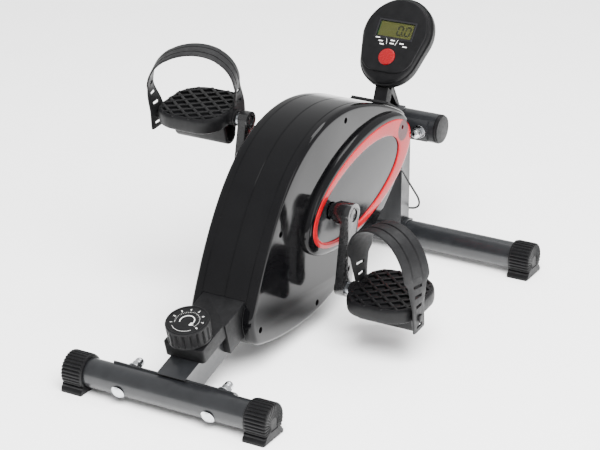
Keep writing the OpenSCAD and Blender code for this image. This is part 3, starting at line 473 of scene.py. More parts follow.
def smooth_run(points, steps):
    """Catmull-Rom curve through the points."""
    p = [Vector(q) for q in points]
    result = []
    for i in range(len(p) - 1):
        a, b, c, d = p[max(i - 1, 0)], p[i], p[i + 1], p[min(i + 2, len(p) - 1)]
        for k in range(steps):
            t = k / steps
            result.append(0.5 * (2 * b + (c - a) * t + (2 * a - 5 * b + 4 * c - d) * t * t
                                 + (3 * b - a - 3 * c + d) * t ** 3))
    return result + [p[-1]]


lead_run = smooth_run(LEAD_ROUTE, 3)
lead_frames, across = [], Vector((1, 0, 0))
for k in range(len(lead_run)):
    heading = (lead_run[min(k + 1, len(lead_run) - 1)] - lead_run[max(k - 1, 0)]).normalized()
    across = (across - heading * across.dot(heading)).normalized()
    lead_frames.append((across.copy(), heading.cross(across)))


def lead_point(i, j):
    t = 2 * math.pi * i / LEAD_SIDES
    first, second = lead_frames[j]
    return lead_run[j] + (first * math.cos(t) + second * math.sin(t)) * LEAD_R


sensor_lead = wrapped("Sensor_lead_hanging", lead_point, LEAD_SIDES, len(lead_run) - 1)
dress(sensor_lead, cable_rubber, "frame", ("sensor_lead",), 60)
# %% [markdown]
# ## Casing halves
# The two halves are moulded shells that meet on the middle plane. Their side outline is a run of
# soft curves, so it is drawn as those curves, spaced evenly and eased at the corners. The shell is
# that outline wrapped from the seam out to the flat side, with a fine groove along the front and a
# 6 mm rolled edge. A real wall thickness, the mouth for the tube and the screw wells come after.

# %% Casing outline
HALF_W = 46.7
CASING_WALL = 2.6
AXLE_HOLE_R, SCREW_HOLE_R, SCREW_WELL_R = 12.5, 4.2, 6.4
AXLE = (-5.0, 169.0)
TUBE_ANGLE = 16.5


def cubic(points, t):
    weights = ((1 - t) ** 3, 3 * (1 - t) ** 2 * t, 3 * (1 - t) * t * t, t ** 3)
    return Vector((sum(w * p[0] for w, p in zip(weights, points)),
                   sum(w * p[1] for w, p in zip(weights, points))))


def spaced(points, count):
    """The closed outline again, as count points at even spacing."""
    lengths = [(points[(k + 1) % len(points)] - p).length for k, p in enumerate(points)]
    step, result, k, gone = sum(lengths) / count, [], 0, 0.0
    for n in range(count):
        while n * step > gone + lengths[k]:
            gone += lengths[k]
            k += 1
        a, b = points[k], points[(k + 1) % len(points)]
        result.append(a + (b - a) * ((n * step - gone) / lengths[k]))
    return result


def eased(points, times):
    for _ in range(times):
        count = len(points)
        points = [points[k] / 2 + (points[k - 1] + points[(k + 1) % count]) / 4 for k in range(count)]
    return points


def pulled_in(points, distance):
    """The outline moved inwards along its own normals."""
    count, result = len(points), []
    for k, p in enumerate(points):
        run = (points[(k + 1) % count] - points[k - 1]).normalized()
        result.append(p + Vector((-run.y, run.x)) * -distance)
    return result


CASING_CURVES = [
    [(-181, 78), (-135, 189), (-74, 292), (56, 292)], [(56, 292), (120, 292), (200, 258), (247, 231)],
    [(247, 231), (244, 200), (240, 176), (233, 154)], [(233, 154), (185, 100), (70, 28), (-39, 26)],
    [(-39, 26), (-85, 25), (-135, 32), (-170, 44)]]
side_line = [cubic(c, t / 24) for c in CASING_CURVES for t in range(24)] + [Vector((-170, 44))]
side_line = [p + Vector((MID_Y / MM, 0)) for p in side_line]
AROUND_CASING = 220
side_line = eased(spaced(side_line, AROUND_CASING), 5)
print("casing outline:", len(side_line), "points,",
      round(max(p.x for p in side_line) - min(p.x for p in side_line)), "mm long")

# %% Wrap the right half
EDGE_ROLL = 6.0
across_half = [(0.12, 0.7), (0.8, 0.05), (16, 0), (32.2, 0), (32.7, 0.75), (33.3, 0.75), (33.8, 0),
               (37, 0), (HALF_W - EDGE_ROLL, 0)]
across_half += [(HALF_W - EDGE_ROLL + EDGE_ROLL * math.sin(math.radians(a)),
                 EDGE_ROLL * (1 - math.cos(math.radians(a)))) for a in (18, 36, 54, 72, 90)]
casing_rings = [(x, pulled_in(side_line, inset)) for x, inset in across_half]


def casing_point(i, j):
    x, ring = casing_rings[j]
    return (x, ring[i].x, ring[i].y)


right_half = wrapped("Right_casing_shell", casing_point, AROUND_CASING, len(casing_rings) - 1, ends=False)


def close_end(piece, wanted):
    """Fills one open end: the rim points whose place passes the test."""
    only(piece)
    bpy.ops.object.mode_set(mode="EDIT")
    bpy.ops.mesh.select_mode(type="VERT")
    mesh = bmesh.from_edit_mesh(piece.data)
    for vertex in mesh.verts:
        vertex.select = vertex.is_boundary and wanted(vertex.co / MM)
    mesh.select_flush(True)
    bmesh.update_edit_mesh(piece.data)
    bpy.ops.mesh.edge_face_add()
    turn_outwards(piece)


def hollowed(piece, wall_mm, outward):
    """Gives an open shell its wall, inwards. outward is a direction one end face should look in."""
    best = max(piece.data.polygons, key=lambda f: f.center.dot(Vector(outward)))
    if best.normal.dot(Vector(outward)) < 0:
        only(piece)
        bpy.ops.object.mode_set(mode="EDIT")
        bpy.ops.mesh.select_all(action="SELECT")
        bpy.ops.mesh.flip_normals()
        bpy.ops.object.mode_set(mode="OBJECT")
    modify(piece, "SOLIDIFY", thickness=wall_mm * MM, offset=-1, use_even_offset=False)


close_end(right_half, lambda p: p.x > HALF_W - 0.5)
hollowed(right_half, CASING_WALL, (1, 0, 0))

# %% [markdown]
# The mouth at the toe lets the main tube and the skirt of the knob bracket in, and a window at the
# rear lets the tube out. Each screw sits at the bottom of a deep well, so a short blind tube is
# joined behind each hole.

# %% Mouth, rear window, axle hole and screw wells
FRONT_Y, REAR_Y, FOOT_H = -316.0, 284.0, 24.5
PIVOT = (0, FRONT_Y, FOOT_H)


def tube_block(x0, x1, u0, u1, v0, v1):
    """A box given along and across the sloping main tube, with heights from its axis."""
    return block((x0, FRONT_Y + u0, FOOT_H + v0 + 2), (x1, FRONT_Y + u1, FOOT_H + v1 + 2),
                 TUBE_ANGLE, PIVOT)


SCREWS = [(66, 276), (-106, 176), (-158, 63), (-10, 42), (82, 63)]
SCREWS = [(y + MID_Y / MM, z) for y, z in SCREWS]
cut(right_half, tube_block(-1, 21.5, 90, 165, -19, 20.5), tube_block(-1, 31.5, 90, 165, -8.5, 37.5),
    block((-1, 209, 150), (26, 249, 215)),
    rod(AXLE_HOLE_R, (HALF_W - 10, *AXLE), (HALF_W + 5, *AXLE)),
    join("holes", [rod(SCREW_HOLE_R, (HALF_W - 6, y, z), (HALF_W + 2, y, z), 32) for y, z in SCREWS]))
wells = []
for y, z in SCREWS:
    well = rod(SCREW_WELL_R, (12.2, y, z), (HALF_W - 1.5, y, z), 32)
    cut(well, rod(SCREW_HOLE_R, (14, y, z), (HALF_W + 1, y, z), 32))
    wells.append(well)
right_half = join("Right_casing_shell", [right_half] + wells)
left_half = mirrored(right_half, "Left_casing_shell")
for half, side in ((right_half, "right"), (left_half, "left")):
    dress(half, gloss_black, "frame", (side + "_casing",), 25)

# %% [markdown]
# ## Oval side discs
# Each side carries a thick oval disc with a rolled, glossy rim. A red ring lies in a shallow
# recess on it, and inside the ring the panel swells a little. Rim, recess and panel are one
# moulding, wrapped as ovals that change from ring to ring.

# %% Ovals
DISC = (0, 0, 149, 68, 14)
RECESS = (5, -1, 142, 59.5, 12)
RING_OUT = (5, -1, 141.7, 59.2, 12)
RING_IN = (-8, -5, 118, 47, 12)
AROUND_OVAL = 160


def oval_point(oval, turn):
    dy, dz, a, b, tilt = oval
    t, tilt = 2 * math.pi * turn, math.radians(tilt)
    y, z = a * math.cos(t), b * math.sin(t)
    return Vector((80 + dy + y * math.cos(tilt) - z * math.sin(tilt),
                   179 + dz + y * math.sin(tilt) + z * math.cos(tilt)))


# Each ring of the disc: height above the casing's middle plane, first oval, second, share between
disc_rings = [(HALF_W + 0.02, DISC, RECESS, 0), (48.8, DISC, RECESS, 0)]
disc_rings += [(48.8 + 7.4 * math.sin(math.radians(a)), DISC, RECESS, 1 - math.cos(math.radians(a)))
               for a in range(12, 91, 13)]
disc_rings += [(56.2, RECESS, RECESS, 0), (55.05, RECESS, RECESS, 0), (55.0, RING_IN, RING_IN, 0),
               (55.35, RING_IN, (-8, -5, 110, 40, 12), 1), (55.9, RING_IN, (-8, -5, 92, 33, 12), 1),
               (56.4, RING_IN, (-8, -5, 66, 24, 12), 1), (56.7, RING_IN, (-8, -5, 36, 14, 12), 1),
               (56.8, RING_IN, (-8, -5, 12, 5, 12), 1)]


def disc_point(i, j):
    x, first, second, share = disc_rings[j]
    p = oval_point(first, i / AROUND_OVAL).lerp(oval_point(second, i / AROUND_OVAL), share)
    return (x, p.x, p.y)


right_disc = wrapped("Right_oval_disc", disc_point, AROUND_OVAL, len(disc_rings) - 1)
cut(right_disc, rod(AXLE_HOLE_R, (HALF_W - 2, *AXLE), (HALF_W + 20, *AXLE)))
left_disc = mirrored(right_disc, "Left_oval_disc")


def inside_oval(oval, y, z):
    dy, dz, a, b, tilt = oval
    tilt = math.radians(tilt)
    y, z = y - 80 - dy, z - 179 - dz
    along, across = y * math.cos(tilt) + z * math.sin(tilt), z * math.cos(tilt) - y * math.sin(tilt)
    return (along / a) ** 2 + (across / b) ** 2 < 1


for disc, side in ((right_disc, "right"), (left_disc, "left")):
    dress(disc, gloss_black, "frame", (side + "_side_disc",), 30)
    disc.data.materials.append(gloss_panel)
    for face in disc.data.polygons:
        middle = face.center / MM
        if abs(middle.x) > 54.95 and inside_oval(RING_IN, middle.y, middle.z):
            face.material_index = 1

# %% [markdown]
# The red ring is wider at its rear end, where a small hole takes its fastener. Its top is slightly
# crowned so that it catches a soft band of light.

# %% Red rings
ring_section = [(0, 55.04), (0, 56.3), (0.03, 56.75), (0.1, 56.98), (0.3, 57.1), (0.5, 57.15),
                (0.7, 57.1), (0.9, 56.98), (0.97, 56.75), (1, 56.3), (1, 55.04)]


def ring_point(i, j):
    share, x = ring_section[j]
    p = oval_point(RING_OUT, i / AROUND_OVAL).lerp(oval_point(RING_IN, i / AROUND_OVAL), share)
    return (x, p.x, p.y)


right_ring = wrapped("Right_red_ring_crowned", ring_point, AROUND_OVAL, len(ring_section),
                     ends=False, ring=True)
cut(right_ring, rod(3, (54, 197, 222), (60, 197, 222), 32))
left_ring = mirrored(right_ring, "Left_red_ring_crowned")
for ring, side in ((right_ring, "right"), (left_ring, "left")):
    dress(ring, gloss_red, "frame", (side + "_red_ring",), 40)

# %% [markdown]
# ## Axle collars and crank arms
# A short bell-shaped collar covers the axle between the disc and the crank. The arms are flat
# bars, so the CAD copy only needs rounded edges and the small oval dimple near the pedal end.

# %% Axle collars


def turned_piece(name, profile, centre, axis="X", sides=64):
    """A piece turned about an axis through centre. profile is (distance along, radius)."""

    def point(i, j):
        along, radius = profile[j]
        t = 2 * math.pi * i / sides
        c, s = radius * math.cos(t), radius * math.sin(t)
        if axis == "X":
            return (centre[0] + along, centre[1] + c, centre[2] + s)
        return (centre[0] + c, centre[1] + s, centre[2] + along)

    return wrapped(name, point, sides, len(profile) - 1)


collar_profile = [(57.4, 9), (57.4, 11.2), (58, 11.8), (60, 12), (62, 12.6), (64, 13.8), (66, 14.6),
                  (67.2, 14.6), (67.7, 14), (67.7, 9)]
right_collar = turned_piece("Right_axle_collar", collar_profile, (0, *AXLE))
cut(right_collar, rod(8, (50, *AXLE), (75, *AXLE)))
left_collar = mirrored(right_collar, "Left_axle_collar")
for collar in (right_collar, left_collar):
    dress(collar, black_enamel, "crank")

# %% Crank arms
CRANK_R, CRANK_ANGLE = 98.0, -10.5
SPINDLE_R = (AXLE[0] + CRANK_R * math.sin(math.radians(CRANK_ANGLE)),
             AXLE[1] - CRANK_R * math.cos(math.radians(CRANK_ANGLE)))
SPINDLE_L = (2 * AXLE[0] - SPINDLE_R[0], 2 * AXLE[1] - SPINDLE_R[1])
for side, spindle, sign in (("right", SPINDLE_R, 1), ("left", SPINDLE_L, -1)):
    arm = softened(side + "_crank_arm", 1.3, "crank")
    along = (Vector(AXLE) - Vector(spindle)).normalized()
    middle = Vector(spindle) + along * 26
    dimple = rod(2.6, (sign * 88.6, *middle), (sign * 94, *middle), 32)
    settle(dimple)
    pivot = Matrix.Translation(Vector((0, *middle)) * MM)
    dimple.data.transform(pivot @ Matrix.Scale(1.7, 4, Vector((0, *along))) @ pivot.inverted())
    cut(arm, dimple)
    give_finish(arm, black_enamel)
    smooth(arm, 35)
softened("crank_bolts", 0.6, "crank")

# %% [markdown]
# ## Pedals
# A pedal is a thick moulded platform with rounded ends, a lattice of raised bars for grip, a deep
# keel below and a collar towards the crank. It is built once about its spindle and copied across,
# then each copy goes to its own spindle with the rear edge tipped up a little. A true bore keeps it
# clear of the spindle that it turns on.

# %% Outlines made of circles
PEDAL_PITCH = 5.0


def round_outline(circles, grow, count):
    """The tight line round some circles, each given as x, y and radius."""
    result = []
    for k in range(count):
        t = 2 * math.pi * k / count
        c, s = math.cos(t), math.sin(t)
        x, y, r = max(circles, key=lambda o: o[0] * c + o[1] * s + o[2])
        result.append(Vector((x + (r + grow) * c, y + (r + grow) * s)))
    return result


def set_down(piece, matrix):
    """Moves the mesh by a placing matrix, so the object itself stays at the origin."""
    piece.data.transform(matrix)
    return piece


RIGHT_SPINDLE = Matrix.Translation(Vector((0, *SPINDLE_R)) * MM) @ Matrix.Rotation(
    math.radians(PEDAL_PITCH), 4, "X")
LEFT_SPINDLE = Matrix.Translation(Vector((0, *SPINDLE_L)) * MM) @ Matrix.Rotation(
    math.radians(PEDAL_PITCH), 4, "X")

# %% Platform
PLATFORM = [(136, 23, 30), (136, -23, 30), (169, 15, 38), (169, -15, 38)]
platform_rings = [(-9, -5), (-8.6, -2.6), (-7.4, -1.0), (-5, -0.2), (-1, 0.2), (4, 0.3), (8, 0.0),
                  (10.2, -0.7), (11.4, -1.9), (11.9, -3.2), (12, -4.4), (11.6, -5.4), (9.4, -5.9)]
platform_lines = [(z, round_outline(PLATFORM, grow, 120)) for z, grow in platform_rings]
platform = wrapped("platform", lambda i, j: (*platform_lines[j][1][i], platform_lines[j][0]),
                   120, len(platform_lines) - 1)
print("platform:", [round(side / MM) for side in platform.dimensions], "mm")

# %% Grip lattice, each bar clipped to the platform's inside
BAR_STEP, BAR_TILT = 15.5, 38


def clipped(start, run):
    """How far a line can run each way inside the platform's recess."""
    low, high = -200.0, 200.0
    for k in range(72):
        t = 2 * math.pi * k / 72
        normal = Vector((math.cos(t), math.sin(t)))
        reach = max(x * normal.x + y * normal.y + r for x, y, r in PLATFORM) - 2.2
        speed, room = run.dot(normal), reach - start.dot(normal)
        if abs(speed) < 1e-9:
            if room < 0:
                return None
        elif speed > 0:
            high = min(high, room / speed)
        else:
            low = max(low, room / speed)
    return (low, high) if high - low > 4 else None


bars = []
for tilt in (BAR_TILT, 180 - BAR_TILT):
    run = Vector((math.cos(math.radians(tilt)), math.sin(math.radians(tilt))))
    across = Vector((-run.y, run.x))
    for k in range(-9, 10):
        start = Vector((155, 0)) + across * (k * BAR_STEP)
        reach = clipped(start, run)
        if reach:
            middle = start + run * (sum(reach) / 2)
            bpy.ops.mesh.primitive_cube_add(size=1)
            bar = bpy.context.object
            bar.scale = ((reach[1] - reach[0]) * MM, 4.6 * MM, 3.6 * MM)
            settle(bar)
            bar.data.transform(Matrix.Translation((middle.x * MM, middle.y * MM, 10.7 * MM))
                               @ Matrix.Rotation(math.radians(tilt), 4, "Z"))
            bars.append(bar)
lattice = join("lattice", bars)
modify(lattice, "BEVEL", width=1.0 * MM, segments=2, limit_method="ANGLE")
print("lattice bars:", len(bars))

# %% Keel, collar, lugs and the bore
KEEL = [(0, -26, 14), (-12, -12, 5), (12, -12, 5)]
keel_lines = [(x, round_outline(KEEL, -shrink, 64)) for x, shrink in [
    (117, 4.6), (110, 4.0), (110, 2.2), (110.5, 0.8), (112, 0), (190, 0), (191.6, 0.8), (192, 2.2)]]
keel = wrapped("keel", lambda i, j: (keel_lines[j][0], *keel_lines[j][1][i]), 64, len(keel_lines) - 1)
collar = turned_piece("collar", [(97.6, 8.6), (97.6, 10), (98.2, 10.6), (99.8, 10.6), (100.2, 9.8),
                                 (101.2, 9.8), (101.6, 10.9), (104, 11), (116, 11), (116, 4)],
                      (0, 0, 0), sides=48)
outer_lug = block((199, -31, -5), (212.4, -23, 1))
outer_lip = block((210.8, -31, -7), (213, -23, 1.6))
inner_lug = block((101, 17, -9), (110, 23, -3))
lugs = join("lugs", [outer_lug, outer_lip, inner_lug])
modify(lugs, "BEVEL", width=0.7 * MM, segments=2, limit_method="ANGLE")
SPINDLE_BORE_R = 5.06
for piece in (platform, keel, collar):
    cut(piece, rod(SPINDLE_BORE_R, (90, 0, 0), (189, 0, 0), 48))
pedal = join("Right_pedal_moulded", [platform, keel, collar, lattice, lugs])
other = mirrored(pedal, "Left_pedal_moulded")
dress(set_down(pedal, RIGHT_SPINDLE), moulded_black, "right_pedal", ("right_pedal",), 32)
dress(set_down(other, LEFT_SPINDLE), moulded_black, "left_pedal", ("left_pedal",), 32)

# %% [markdown]
# ## Straps
# A strap is one rubber band with three flat ribs over the foot and narrower legs with a ladder of
# slots. It crosses the foot at a skew, so its width turns as it rises. The band is a closed
# section carried along its path; the slots are cut before it goes to its spindle.

# %% Strap path and section
STRAP_XI, STRAP_XO = 104.3, 209.0
INNER_LEG_Y, OUTER_LEG_Y = 14.0, -27.0
STRAP_T = 2.6


def eased_step(t):
    t = max(0.0, min(1.0, t))
    return t * t * (3 - 2 * t)


def strap_path(height, bulge, arch=84):
    base = height * 0.42
    middle, half = (STRAP_XI + STRAP_XO) / 2, (STRAP_XO - STRAP_XI) / 2
    path = [(STRAP_XI, z) for z in (-14, -13.2, -11, -6, 0, 4)]
    for k in range(1, 9):
        share = k / 9
        path.append((STRAP_XI - bulge[0] * eased_step(share), 4 + (base - 4) * share))
    for k in range(arch + 1):
        t = math.pi * (1 - k / arch)
        lean = bulge[0] if 2 * k < arch else bulge[1]
        if 0.3 < k / arch < 0.7:
            lean = bulge[0] + (bulge[1] - bulge[0]) * eased_step(k / arch)
        path.append((middle + (half + lean) * math.cos(t),
                     base + (height - base - STRAP_T / 2) * math.sin(t) ** 0.9))
    for k in range(1, 9):
        share = 1 - k / 9
        path.append((STRAP_XO + bulge[1] * eased_step(share), 4 + (base - 4) * share))
    path += [(STRAP_XO, z) for z in (4, -4, -12, -18, -20.2, -21)]
    return [Vector(p) for p in path]


# Across the strap: share of the half width, share of the thickness, groove depth share
STRAP_SECTION = [(-1, 0.4, 0), (-0.96, 0.8, 0), (-0.88, 1, 0), (-0.45, 1, 0), (-0.41, 1, 1.15),
                 (-0.35, 1, 1.15), (-0.31, 1, 0), (0.31, 1, 0), (0.35, 1, 1.15), (0.41, 1, 1.15),
                 (0.45, 1, 0), (0.88, 1, 0), (0.96, 0.8, 0), (1, 0.4, 0), (1, -0.4, 0),
                 (0.96, -0.8, 0), (0.88, -1, 0), (0, -1, 0), (-0.88, -1, 0), (-0.96, -0.8, 0),
                 (-1, -0.4, 0)]


def make_strap(name, height, bulge):
    path = strap_path(height, bulge)
    last = len(path) - 1
    skew = math.atan2(INNER_LEG_Y - OUTER_LEG_Y, STRAP_XO - STRAP_XI)

    def point(i, j):
        across, through, groove = STRAP_SECTION[i]
        x, z = path[j]
        run = (path[min(j + 1, last)] - path[max(j - 1, 0)]).normalized()
        y = INNER_LEG_Y + (OUTER_LEG_Y - INNER_LEG_Y) * (x - STRAP_XI) / (STRAP_XO - STRAP_XI)
        turn = skew * eased_step((z - 8) / (0.4 * height))
        width = 15.5 + 6.0 * eased_step((z / height - 0.40) / 0.12)
        if j in (0, last):
            width -= 2.5
        elif j in (1, last - 1):
            width -= 0.8
        rib = eased_step((z / height - 0.45) / 0.12)
        off = STRAP_T / 2 * (through - groove * rib)
        return (x - run.y * off + math.sin(turn) * across * width, y + math.cos(turn) * across * width,
                z + run.x * off)

    strap = wrapped(name, point, len(STRAP_SECTION), last)
    slots = [block((STRAP_XO - 10, OUTER_LEG_Y - 7, z), (STRAP_XO + 10, OUTER_LEG_Y + 7, z + 4.6))
             for z in (-16, 12.3, 26.3, 40.3)]
    slots += [block((STRAP_XI - 10, INNER_LEG_Y - 7, z), (STRAP_XI + 8, INNER_LEG_Y + 7, z + 4.6))
              for z in (16.4, 31.4)]
    slots += [block((STRAP_XO - 4, -31.5, -5.5), (STRAP_XO + 4, -22.5, 1.5)),
              block((STRAP_XI - 4, 16.5, -9.5), (STRAP_XI + 4, 23.5, -2.5))]
    cut(strap, join("slots", slots), rod(11.6, (92, 0, 0), (109, 0, 0), 48))
    return strap


right_strap = make_strap("Right_strap_ribbed", 106, (2, -1))
left_strap = make_strap("strap", 93, (0, 6))
left_strap = mirrored(left_strap, "Left_strap_ribbed")
bpy.data.objects.remove(bpy.data.objects["strap"])
dress(set_down(right_strap, RIGHT_SPINDLE), strap_rubber, "right_pedal",
      ("right_pedal_strap",), 40)
dress(set_down(left_strap, LEFT_SPINDLE), strap_rubber, "left_pedal",
      ("left_pedal_strap",), 40)

# %% [markdown]
# ## Console
# The console is a pear-shaped two-part moulding on a leaning face. Both shells are rings of one
# outline stacked from front to back: a flat face plate with a rolled edge that turns into a round
# flank, and a stepped back. They are then hollowed, and the window and the button hole are cut.

# %% Console outlines and frame
ON_FACE = Matrix.Translation(Vector((0, 256, 298)) * MM) @ Matrix.Rotation(math.radians(50), 4, "X")
AROUND_CONSOLE = 144
BUTTON_HOLE_R = 12.9


def face_line(grow):
    return round_outline([(0, 41, 46.5), (-13, 5, 27), (13, 5, 27)], grow, AROUND_CONSOLE)


def shell_line(top, bottom):
    return round_outline([(0, 41, top), (0, 5, bottom)], 0, AROUND_CONSOLE)


def blended(first, second, share):
    return [a.lerp(b, share) for a, b in zip(first, second)]


def stacked(name, rings):
    return wrapped(name, lambda i, j: (*rings[j][1][i], rings[j][0]), AROUND_CONSOLE, len(rings) - 1)


# %% Front shell
front_rings = [(-9.02, shell_line(49, 41)), (-9.0, shell_line(51, 43))]
for n, share in [(-8.0, 0.98), (-6.5, 0.88), (-5.2, 0.74), (-4.2, 0.55), (-3.4, 0.34)]:
    front_rings.append((n, blended(face_line(1.2), shell_line(51, 43), share)))
front_rings += [(-2.9, face_line(1.3)), (-2.6, face_line(0.7)), (-2.2, face_line(0.6)),
                (-1.2, face_line(0.6)), (-0.5, face_line(0.3)), (-0.15, face_line(-0.3)),
                (0, face_line(-1.1)), (0, face_line(-6))]
console_front = stacked("Console_front_rolled", front_rings)
hollow = stacked("hollow", [(-12, face_line(-3.4)), (-2.2, face_line(-3.4))])
window = block((-27, 30, -12), (27, 54, 4))
cut(console_front, hollow, window, rod(BUTTON_HOLE_R, (0, 0, -12), (0, 0, 4), 64))
dress(set_down(console_front, ON_FACE), moulded_black, "frame", ("console_front",), 32)

# %% Back shell
back_rings = [(n, shell_line(top, bottom)) for n, top, bottom in [
    (-9.05, 50, 42), (-9.05, 52, 43.6), (-9.7, 53.4, 45), (-18, 53.5, 45), (-22, 52, 43.5),
    (-25, 50, 41), (-27, 47.2, 37.5), (-30, 46.5, 36.5), (-33.5, 44, 34), (-35.4, 41, 31),
    (-36, 37, 27)]]
console_back = stacked("Console_back_stepped", back_rings)
hollow = stacked("hollow", [(-8, shell_line(50.6, 42)), (-18, shell_line(50.6, 42)),
                            (-25, shell_line(46, 36)), (-33.6, shell_line(41, 31))])
cut(console_back, hollow)
dress(set_down(console_back, ON_FACE), moulded_black, "frame", ("console_back",), 32)

# %% [markdown]
# ## Marks
# All marks are generic: a zero reading, plain dashes that stand for the console's legends, and
# the numbers 1 to 8 with an arrow on the dial. Each is a thin slab of ink, a tenth of a
# millimetre proud, and the slabs of one colour are joined into one piece.

# %% Ink slabs
LCD_N, FACE_N = (-1.72, -1.62), (-0.02, 0.07)       # heights of the ink on the display and the face


def stroke(points, wide, n_low, n_high, matrix):
    """A slab along a line of points on a local plane."""
    points = [Vector(p) for p in points]
    last = len(points) - 1
    bpy.ops.mesh.primitive_grid_add(x_subdivisions=last, y_subdivisions=1, size=1)
    piece = bpy.context.object
    for vertex in piece.data.vertices:
        i = round((vertex.co.x + 0.5) * last)
        side = 1 if vertex.co.y > 0 else -1
        run = (points[min(i + 1, last)] - points[max(i - 1, 0)]).normalized()
        spot = points[i] + Vector((-run.y, run.x)) * side * wide / 2
        vertex.co = Vector((spot.x, spot.y, n_low)) * MM
    bpy.ops.object.mode_set(mode="EDIT")
    bpy.ops.mesh.select_all(action="SELECT")
    bpy.ops.mesh.extrude_region_move(TRANSFORM_OT_translate={"value": (0, 0, (n_high - n_low) * MM)})
    turn_outwards(piece)
    return set_down(piece, matrix)


white_ink, shader = new_material("white_pad_print_ink", "#e6e6e4", 0.5, IOR=1.5)
vary(white_ink, shader, "Roughness", 2, 0.42, 0.58)
lcd_black, shader = new_material("lcd_segment_black", "#050504", 0.4, IOR=1.5)
vary(lcd_black, shader, "Roughness", 2, 0.35, 0.45)


def zero(x0, x1, s0, s1, wide=2.1):
    """The six lit segments of a seven-segment zero, a small gap between them."""
    lean, gap, middle = 1.2, 0.9, (s0 + s1) / 2
    corner = {"a": (x0, s0), "b": (x1, s0), "c": (x0 + lean / 2, middle), "d": (x1 + lean / 2, middle),
              "e": (x0 + lean, s1), "f": (x1 + lean, s1)}
    result = []
    for first, second in ("ab", "ac", "bd", "ce", "df", "ef"):
        a, b = Vector(corner[first]), Vector(corner[second])
        run = (b - a).normalized() * gap
        result.append(stroke([a + run, b - run], wide, *LCD_N, ON_FACE))
    return result


digits = zero(2.5, 9.5, 35, 48.5) + zero(14.5, 21.5, 35, 48.5)
digits.append(stroke([(11.0, 35), (13.0, 35)], 2.0, *LCD_N, ON_FACE))
lcd_reading = join("Lcd_reading", digits)
dress(lcd_reading, lcd_black, "frame")
legends = []
for x, level in ((-23, 27), (-17, 22.4), (-14, 17.8), (1, 25.4), (1, 20.6), (16, 22.4), (22, 18.4)):
    legends.append(stroke([(x - 3.2, level), (x + 3.2, level)], 1.3, *FACE_N, ON_FACE))
for sign in (-1, 1):
    legends.append(stroke([(sign * 9.5, 28.5), (sign * 6.5, 18.5)], 0.45, *FACE_N, ON_FACE))
dress(join("Console_legend_dashes", legends), white_ink, "frame")

# %% Window frame: a thin raised lip that the lens sits inside
frame_strip = [[(-27 - g, 30 - g), (27 + g, 30 - g), (27 + g, 54 + g), (-27 - g, 54 + g)]
               for g in (0.2, 0.5, 2.2, 2.5)]
frame_height = (0.0, 0.28, 0.28, 0.0)
window_lip = wrapped("Window_lip", lambda i, j: (*frame_strip[j][i], frame_height[j]), 4, 3, ends=False)
modify(window_lip, "SOLIDIFY", thickness=0.2 * MM, offset=-1)
turn_outwards(window_lip)
dress(set_down(window_lip, ON_FACE), gloss_panel, "frame")

# %% Red button: a shallow dome with a rounded rim
button_profile = [(-4, 8), (-4, 12.5), (0.2, 12.5), (0.8, 12.2), (1.2, 11.4), (1.55, 9.4), (1.8, 6),
                  (1.95, 3), (2, 0.4)]
button = turned_piece("Mode_button_domed", button_profile, (0, 0, 0), axis="Z", sides=64)

# The button's darker red is painted shade against the overhead fill
dress(set_down(button, ON_FACE), keycap_red_painted_shade, "mode_button", ("mode_button",), 40)

# %% [markdown]
# ## Tension knob
# A round knob with narrow flutes for the fingers, a recessed top and a printed dial. The knob and
# the dial ride on the knob's own body, so the print turns with it.

# %% Knob
KNOB_Y = 64.5
ON_TUBE = (Matrix.Translation(Vector((0, FRONT_Y, FOOT_H)) * MM)
           @ Matrix.Rotation(math.radians(TUBE_ANGLE), 4, "X") @ Matrix.Translation((0, 0, 2 * MM)))
ON_KNOB = ON_TUBE @ Matrix.Translation(Vector((0, KNOB_Y, 38.5)) * MM)
FLUTES, AROUND_KNOB = 20, 240
knob_rings = [(0.6, 24, 0), (0.6, 27.8, 0), (0.9, 28.5, 0), (3, 28.7, 0), (3.6, 28.5, 0),
              (4.2, 28.3, 0.4), (5.2, 28.3, 1), (12, 28.4, 1), (19, 28.6, 1), (21.6, 28.6, 1),
              (23, 28.6, 0.5), (24, 28.6, 0), (25.6, 28.4, 0), (26.6, 27.9, 0), (27, 27.1, 0),
              (26.9, 26.1, 0), (26.3, 25.4, 0), (25.8, 25, 0), (25.8, 23, 0)]


def knob_point(i, j):
    z, radius, flute = knob_rings[j]
    t = 2 * math.pi * i / AROUND_KNOB
    radius -= 2.0 * flute * max(0.0, math.cos(FLUTES * t)) ** 1.5
    return (radius * math.cos(t), radius * math.sin(t), z)


knob = wrapped("Tension_knob_fluted", knob_point, AROUND_KNOB, len(knob_rings) - 1)
dress(set_down(knob, ON_KNOB), moulded_black, "tension_knob",
      ("tension_knob", "knob_dial"), 38)

# %% Dial print: ticks round the rim, an arrow along an arc and the numbers 1 to 8
DIAL_Z = (25.76, 25.88)


def on_dial(radius, degrees):
    t = math.radians(degrees)
    return (radius * math.cos(t), radius * math.sin(t))


